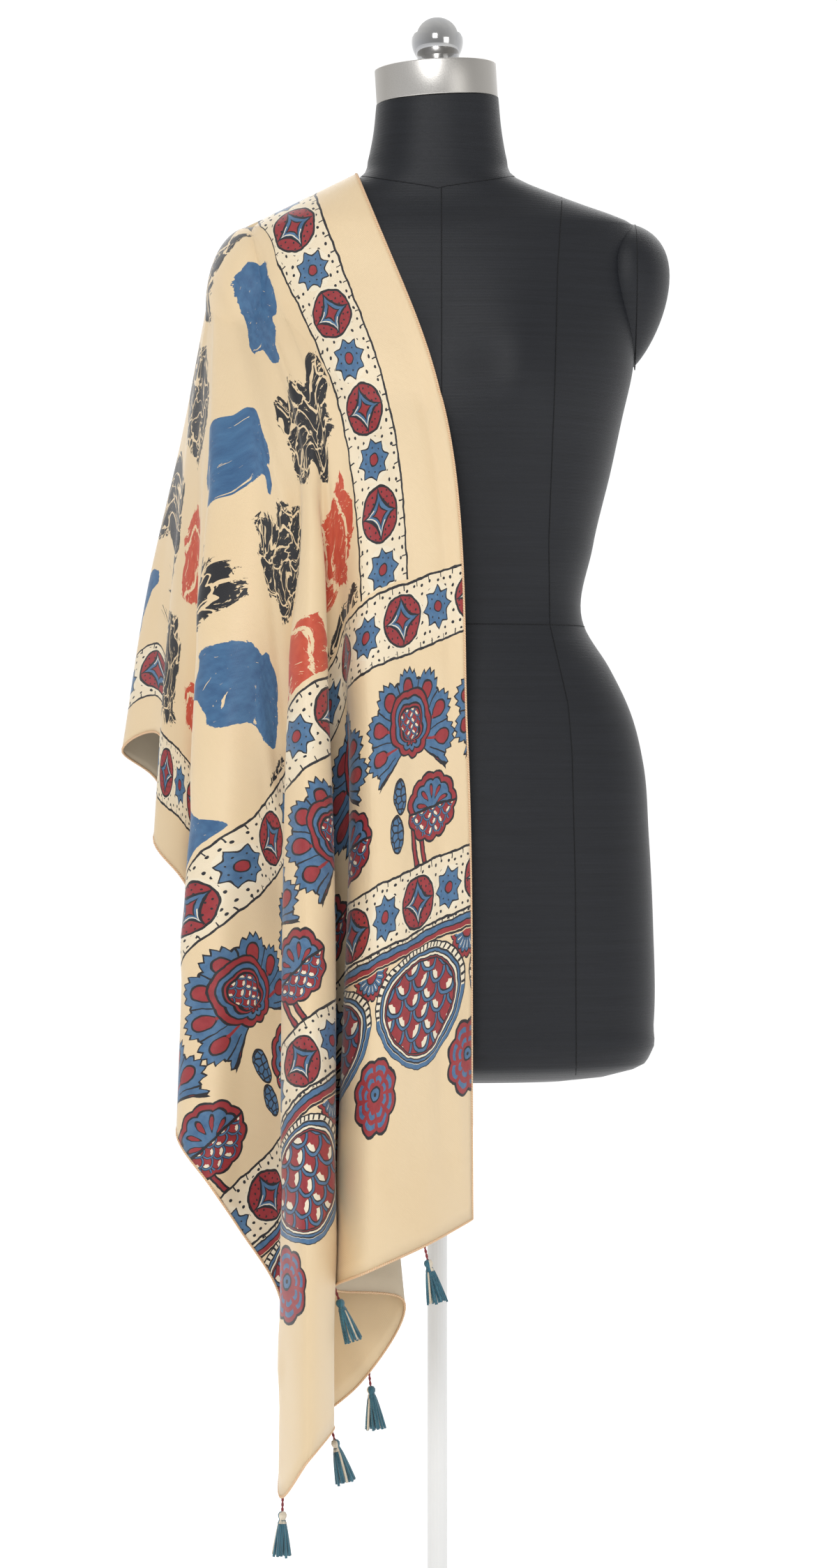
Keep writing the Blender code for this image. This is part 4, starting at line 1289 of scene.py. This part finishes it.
class STOLE_OT_form(bpy.types.Operator):
    """Make the jersey-covered bust form, its padded caps and its seams"""
    bl_idname = "stole.form"
    bl_label = "Dress form"

    def execute(self, context):
        settings = context.scene.stole_form
        jersey = jersey_cloth(tuple(settings.jersey))
        heights = []
        rows = column(FORM, FORM_COLUMNS, "z")
        for upper, lower in zip(rows, rows[1:]):
            count = max(1, round((upper - lower) / 0.006))
            heights.extend(upper + (lower - upper) * k / count for k in range(count))
        heights.append(rows[-1])
        shape = bmesh.new()
        rings = [[shape.verts.new(form_place(2 * math.pi * k / 96, z)) for k in range(96)] for z in heights]
        for upper, lower in zip(rings, rings[1:]):
            for k in range(96):
                shape.faces.new((upper[k], lower[k], lower[(k + 1) % 96], upper[(k + 1) % 96]))
        shape.faces.new(rings[0])
        shape.faces.new(rings[-1][::-1])
        bmesh.ops.recalc_face_normals(shape, faces=shape.faces)
        mesh = bpy.data.meshes.new("dress_form")
        shape.to_mesh(mesh)
        shape.free()
        body = link("dress_form", mesh, [jersey])
        only(body)
        bpy.ops.object.shade_smooth_by_angle(angle=math.radians(50))
        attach(body, "root")
        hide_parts("torso")
        for cap in ARM_CAPS:
            pad = cap_mesh_places(cap)
            pad.name = cap[0].replace("arm_cap", "padded_cap")
            pad.data.name = pad.name
            pad.data.materials.append(jersey)
            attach(pad, "root")
            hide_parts(cap[0])
        shape = bmesh.new()
        for path, closed in self.seam_paths():
            tube(shape, path, settings.seam, 6, closed)
        bmesh.ops.recalc_face_normals(shape, faces=shape.faces)
        mesh = bpy.data.meshes.new("form_seams")
        shape.to_mesh(mesh)
        shape.free()
        seams = link("form_seams", mesh, [seam_thread(tuple(settings.jersey))])
        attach(seams, "root")
        return {"FINISHED"}

    def seam_paths(self):
        """The seams as rows of places on the skin, and whether each closes."""
        paths = []
        for sign in (1, -1):
            for front, line in ((True, FRONT_PANEL_SEAM), (False, BACK_PANEL_SEAM)):
                z = np.arange(line[0][0], line[-1][0], -0.006)
                x = np.interp(z, [row[0] for row in line][::-1], [row[1] for row in line][::-1])
                paths.append(([form_place(seam_turn(sign * a, b, front), b) for a, b in zip(x, z)], False))
        for front in (True, False):
            z = np.arange(NECK_SEAM_Z[0] if front else NECK_SEAM_Z[1], 0.6135, -0.006)
            paths.append(([form_place(seam_turn(0.0035, b, front), b) for b in z], False))
        turns = np.linspace(0, 2 * math.pi, 120, endpoint=False)
        paths.append(([form_place(turn, WAIST_SEAM_Z) for turn in turns], True))
        rise = [NECK_SEAM_Z[0] + (NECK_SEAM_Z[1] - NECK_SEAM_Z[0]) * (0.5 + 0.5 * math.sin(turn)) ** 0.35
                for turn in turns]
        paths.append(([form_place(turn, z) for turn, z in zip(turns, rise)], True))
        for name, x, z, half_x, half_y, half_z, point, up in ARM_CAPS:
            ring = []
            for turn in turns:
                height = math.sin(turn)
                narrow = abs(math.cos(turn)) ** (1 + 2 * point)
                place = (x + math.copysign(CAP_SEAM_OUT, x),
                         math.copysign(narrow, math.cos(turn)) * half_y * 0.985,
                         z + (height + up * (1 - height * height)) * half_z * 0.985)
                ring.append(place)
            paths.append((ring, True))
        return paths


FRONT_PANEL_SEAM = ((1.4275, 0.1150), (1.3576, 0.1100), (1.1080, 0.1020), (1.0310, 0.1034), (0.9578, 0.1196),
                    (0.9160, 0.1229), (0.7888, 0.1260), (0.6150, 0.1270))
BACK_PANEL_SEAM = ((1.4275, 0.1100), (1.3400, 0.1000), (1.1080, 0.0850), (1.0310, 0.0820), (0.9400, 0.1000),
                   (0.8400, 0.1080), (0.6150, 0.1080))
WAIST_SEAM_Z = 1.0310
NECK_SEAM_Z = (1.4320, 1.4550)
CAP_SEAM_OUT = 0.006


def turned(name, profile, sides=96):
    """A round piece from rows of radius and height, turned about the upright axis, poles closed."""
    shape = bmesh.new()
    rings = [[shape.verts.new((radius * math.cos(turn), radius * math.sin(turn), height))
              for turn in (2 * math.pi * k / sides for k in range(sides))] for radius, height in profile]
    for upper, lower in zip(rings, rings[1:]):
        for k in range(sides):
            shape.faces.new((upper[k], lower[k], lower[(k + 1) % sides], upper[(k + 1) % sides]))
    shape.faces.new(rings[0])
    shape.faces.new(rings[-1][::-1])
    bmesh.ops.recalc_face_normals(shape, faces=shape.faces)
    mesh = bpy.data.meshes.new(name)
    shape.to_mesh(mesh)
    shape.free()
    return mesh


class STOLE_OT_fittings(bpy.types.Operator):
    """Make the brushed neck cap and the polished ball with its foot"""
    bl_idname = "stole.fittings"
    bl_label = "Neck cap and ball"

    def execute(self, context):
        lean = Matrix.Rotation(-NECK_TILT, 4, "Y")
        edge = NECK_CAP_EDGE
        profile = [(NECK_CAP_RADIUS - edge * (1 - math.sin(turn)), NECK_CAP_HEIGHT - edge * (1 - math.cos(turn)))
                   for turn in np.linspace(0, math.pi / 2, 5)]
        profile += [(radius, NECK_CAP_HEIGHT - height) for radius, height in reversed(profile)]
        cap = link("steel_neck_cap", turned("steel_neck_cap", profile), [brushed_steel()])
        base_z = NECK_TOP_Z + NECK_CAP_GAP
        cap.data.transform(Matrix.Translation((0, 0, base_z)) @ lean)
        foot_z = NECK_TOP_Z + NECK_CAP_HEIGHT + 2 * NECK_CAP_GAP - BALL_Z
        start = math.asin(FOOT_RADIUS / BALL_RADIUS)
        profile = [(max(BALL_RADIUS * math.sin(turn), TINY), BALL_RADIUS * math.cos(turn))
                   for turn in np.linspace(0, math.pi - start, 48)]
        profile += [(FOOT_RADIUS, foot_z + 0.0006), (FOOT_RADIUS - 0.0006, foot_z)]
        ball = link("polished_ball", turned("polished_ball", profile), [polished_steel()])
        ball.data.transform(Matrix.Translation((0, 0, BALL_Z)) @ lean)
        for piece, node, slot in ((cap, "neck_cap", "brushed_steel"), (ball, "finial", "polished_steel")):
            only(piece)
            bpy.ops.object.shade_smooth_by_angle(angle=math.radians(35))
            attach(piece, "root")
            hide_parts(node)
        return {"FINISHED"}


NECK_CAP_RADIUS = 0.0566
NECK_CAP_HEIGHT = 0.0330
NECK_CAP_EDGE = 0.0012
NECK_CAP_GAP = 0.0003
BALL_RADIUS = 0.0240
BALL_Z = 1.5760
FOOT_RADIUS = 0.0195


class STOLE_OT_stand(bpy.types.Operator):
    """Enamel the pole and the round base under the form"""
    bl_idname = "stole.stand"
    bl_label = "Stand"

    def execute(self, context):
        enamel = stand_enamel(tuple(context.scene.stole_form.enamel))
        for name in ("pole", "base"):
            for slot in frame["nodes"][name].material_slots:
                slot.material = enamel
        return {"FINISHED"}


class STOLE_OT_stage(bpy.types.Operator):
    """Lay the pale floor, light it softly and set the camera"""
    bl_idname = "stole.stage"
    bl_label = "Stage"

    def execute(self, context):
        scene = context.scene
        bpy.ops.object.select_all(action="DESELECT")
        bpy.ops.mesh.primitive_circle_add(vertices=128, radius=8, fill_type="NGON", location=(0, 0, 0))
        floor = context.object
        floor.name = "floor"
        settle(floor)
        paper, tree, shader = new_material("floor_paper", (0.93, 0.93, 0.93), 0.9)
        x, y, z = object_fields(tree)
        tree.links.new(mixed(tree, (0.93, 0.93, 0.93), (0.91, 0.91, 0.91), grain(x, y, 3.0)),
                       shader.inputs["Base Color"])
        shader.inputs["Emission Color"].default_value = (1, 1, 1, 1)
        shader.inputs["Emission Strength"].default_value = FLOOR_GLOW
        floor.data.materials.append(paper)
        camera = bpy.data.objects.new("camera", bpy.data.cameras.new("camera"))
        scene.collection.objects.link(camera)
        camera.location = (-0.01755, -4.5, 0.8847)
        camera.rotation_euler = (math.radians(90), 0, 0)
        camera.data.lens = 110.9
        scene.camera = camera
        world = bpy.data.worlds.new("studio")
        world.use_nodes = True
        tree = world.node_tree
        directions = tree.nodes.new("ShaderNodeTexCoord")
        apart = tree.nodes.new("ShaderNodeSeparateXYZ")
        tree.links.new(directions.outputs["Generated"], apart.inputs[0])
        glow = calc("MULTIPLY_ADD", Field(tree, apart.outputs[1]), 0.34, 0.72)
        seen = tree.nodes.new("ShaderNodeLightPath").outputs["Is Camera Ray"]
        glow = most(glow, Field(tree, seen))
        tree.nodes["Background"].inputs["Color"].default_value = (1, 1, 1, 1)
        tree.links.new(glow.socket, tree.nodes["Background"].inputs["Strength"])
        scene.world = world
        for name, place, aim, size, power in STUDIO_LIGHTS:
            light = bpy.data.objects.new(name, bpy.data.lights.new(name, "AREA"))
            scene.collection.objects.link(light)
            light.location = place
            light.rotation_euler = (Vector(aim) - Vector(place)).to_track_quat("-Z", "Y").to_euler()
            light.data.size = size
            light.data.energy = power
        scene.view_settings.view_transform = "Standard"
        return {"FINISHED"}


FLOOR_GLOW = 0.22
STUDIO_LIGHTS = (
    ("key", (-0.7, -3.6, 2.9), (0, 0, 1.1), 1.2, 58),
    ("fill", (2.4, -2.8, 1.7), (0, 0, 1.0), 1.6, 12),
    ("backdrop_wash", (0, 4.8, 3.4), (0, 4.8, 0), 6.0, 170),
)


class STOLE_PT_panel(bpy.types.Panel):
    """Buttons and sizes for the stole and its dress form"""
    bl_idname = "STOLE_PT_panel"
    bl_label = "Draped stole"
    bl_space_type = "VIEW_3D"
    bl_region_type = "UI"
    bl_category = "Stole"

    def draw(self, context):
        for settings in (context.scene.stole, context.scene.stole_tassels, context.scene.stole_form):
            box = self.layout.box()
            for name in settings.__annotations__:
                box.prop(settings, name)
        for operator in OPERATORS:
            self.layout.operator(operator.bl_idname)


SETTINGS = (("stole", StoleSettings), ("stole_tassels", TasselSettings), ("stole_form", FormSettings))
OPERATORS = (STOLE_OT_form, STOLE_OT_fittings, STOLE_OT_stand, STOLE_OT_overlock, STOLE_OT_tassels,
             STOLE_OT_cloth, STOLE_OT_stage)


def register():
    for name, settings in SETTINGS:
        bpy.utils.register_class(settings)
        setattr(bpy.types.Scene, name, PointerProperty(type=settings))
    for operator in OPERATORS:
        bpy.utils.register_class(operator)
    bpy.utils.register_class(STOLE_PT_panel)


def unregister():
    bpy.utils.unregister_class(STOLE_PT_panel)
    for operator in reversed(OPERATORS):
        bpy.utils.unregister_class(operator)
    for name, settings in reversed(SETTINGS):
        delattr(bpy.types.Scene, name)
        bpy.utils.unregister_class(settings)


def main():
    register()
    bpy.ops.stole.form()
    bpy.ops.stole.fittings()
    bpy.ops.stole.stand()
    bpy.ops.stole.overlock()
    bpy.ops.stole.tassels()
    bpy.ops.stole.cloth()
    bpy.ops.stole.stage()


if __name__ == "__main__":
    main()
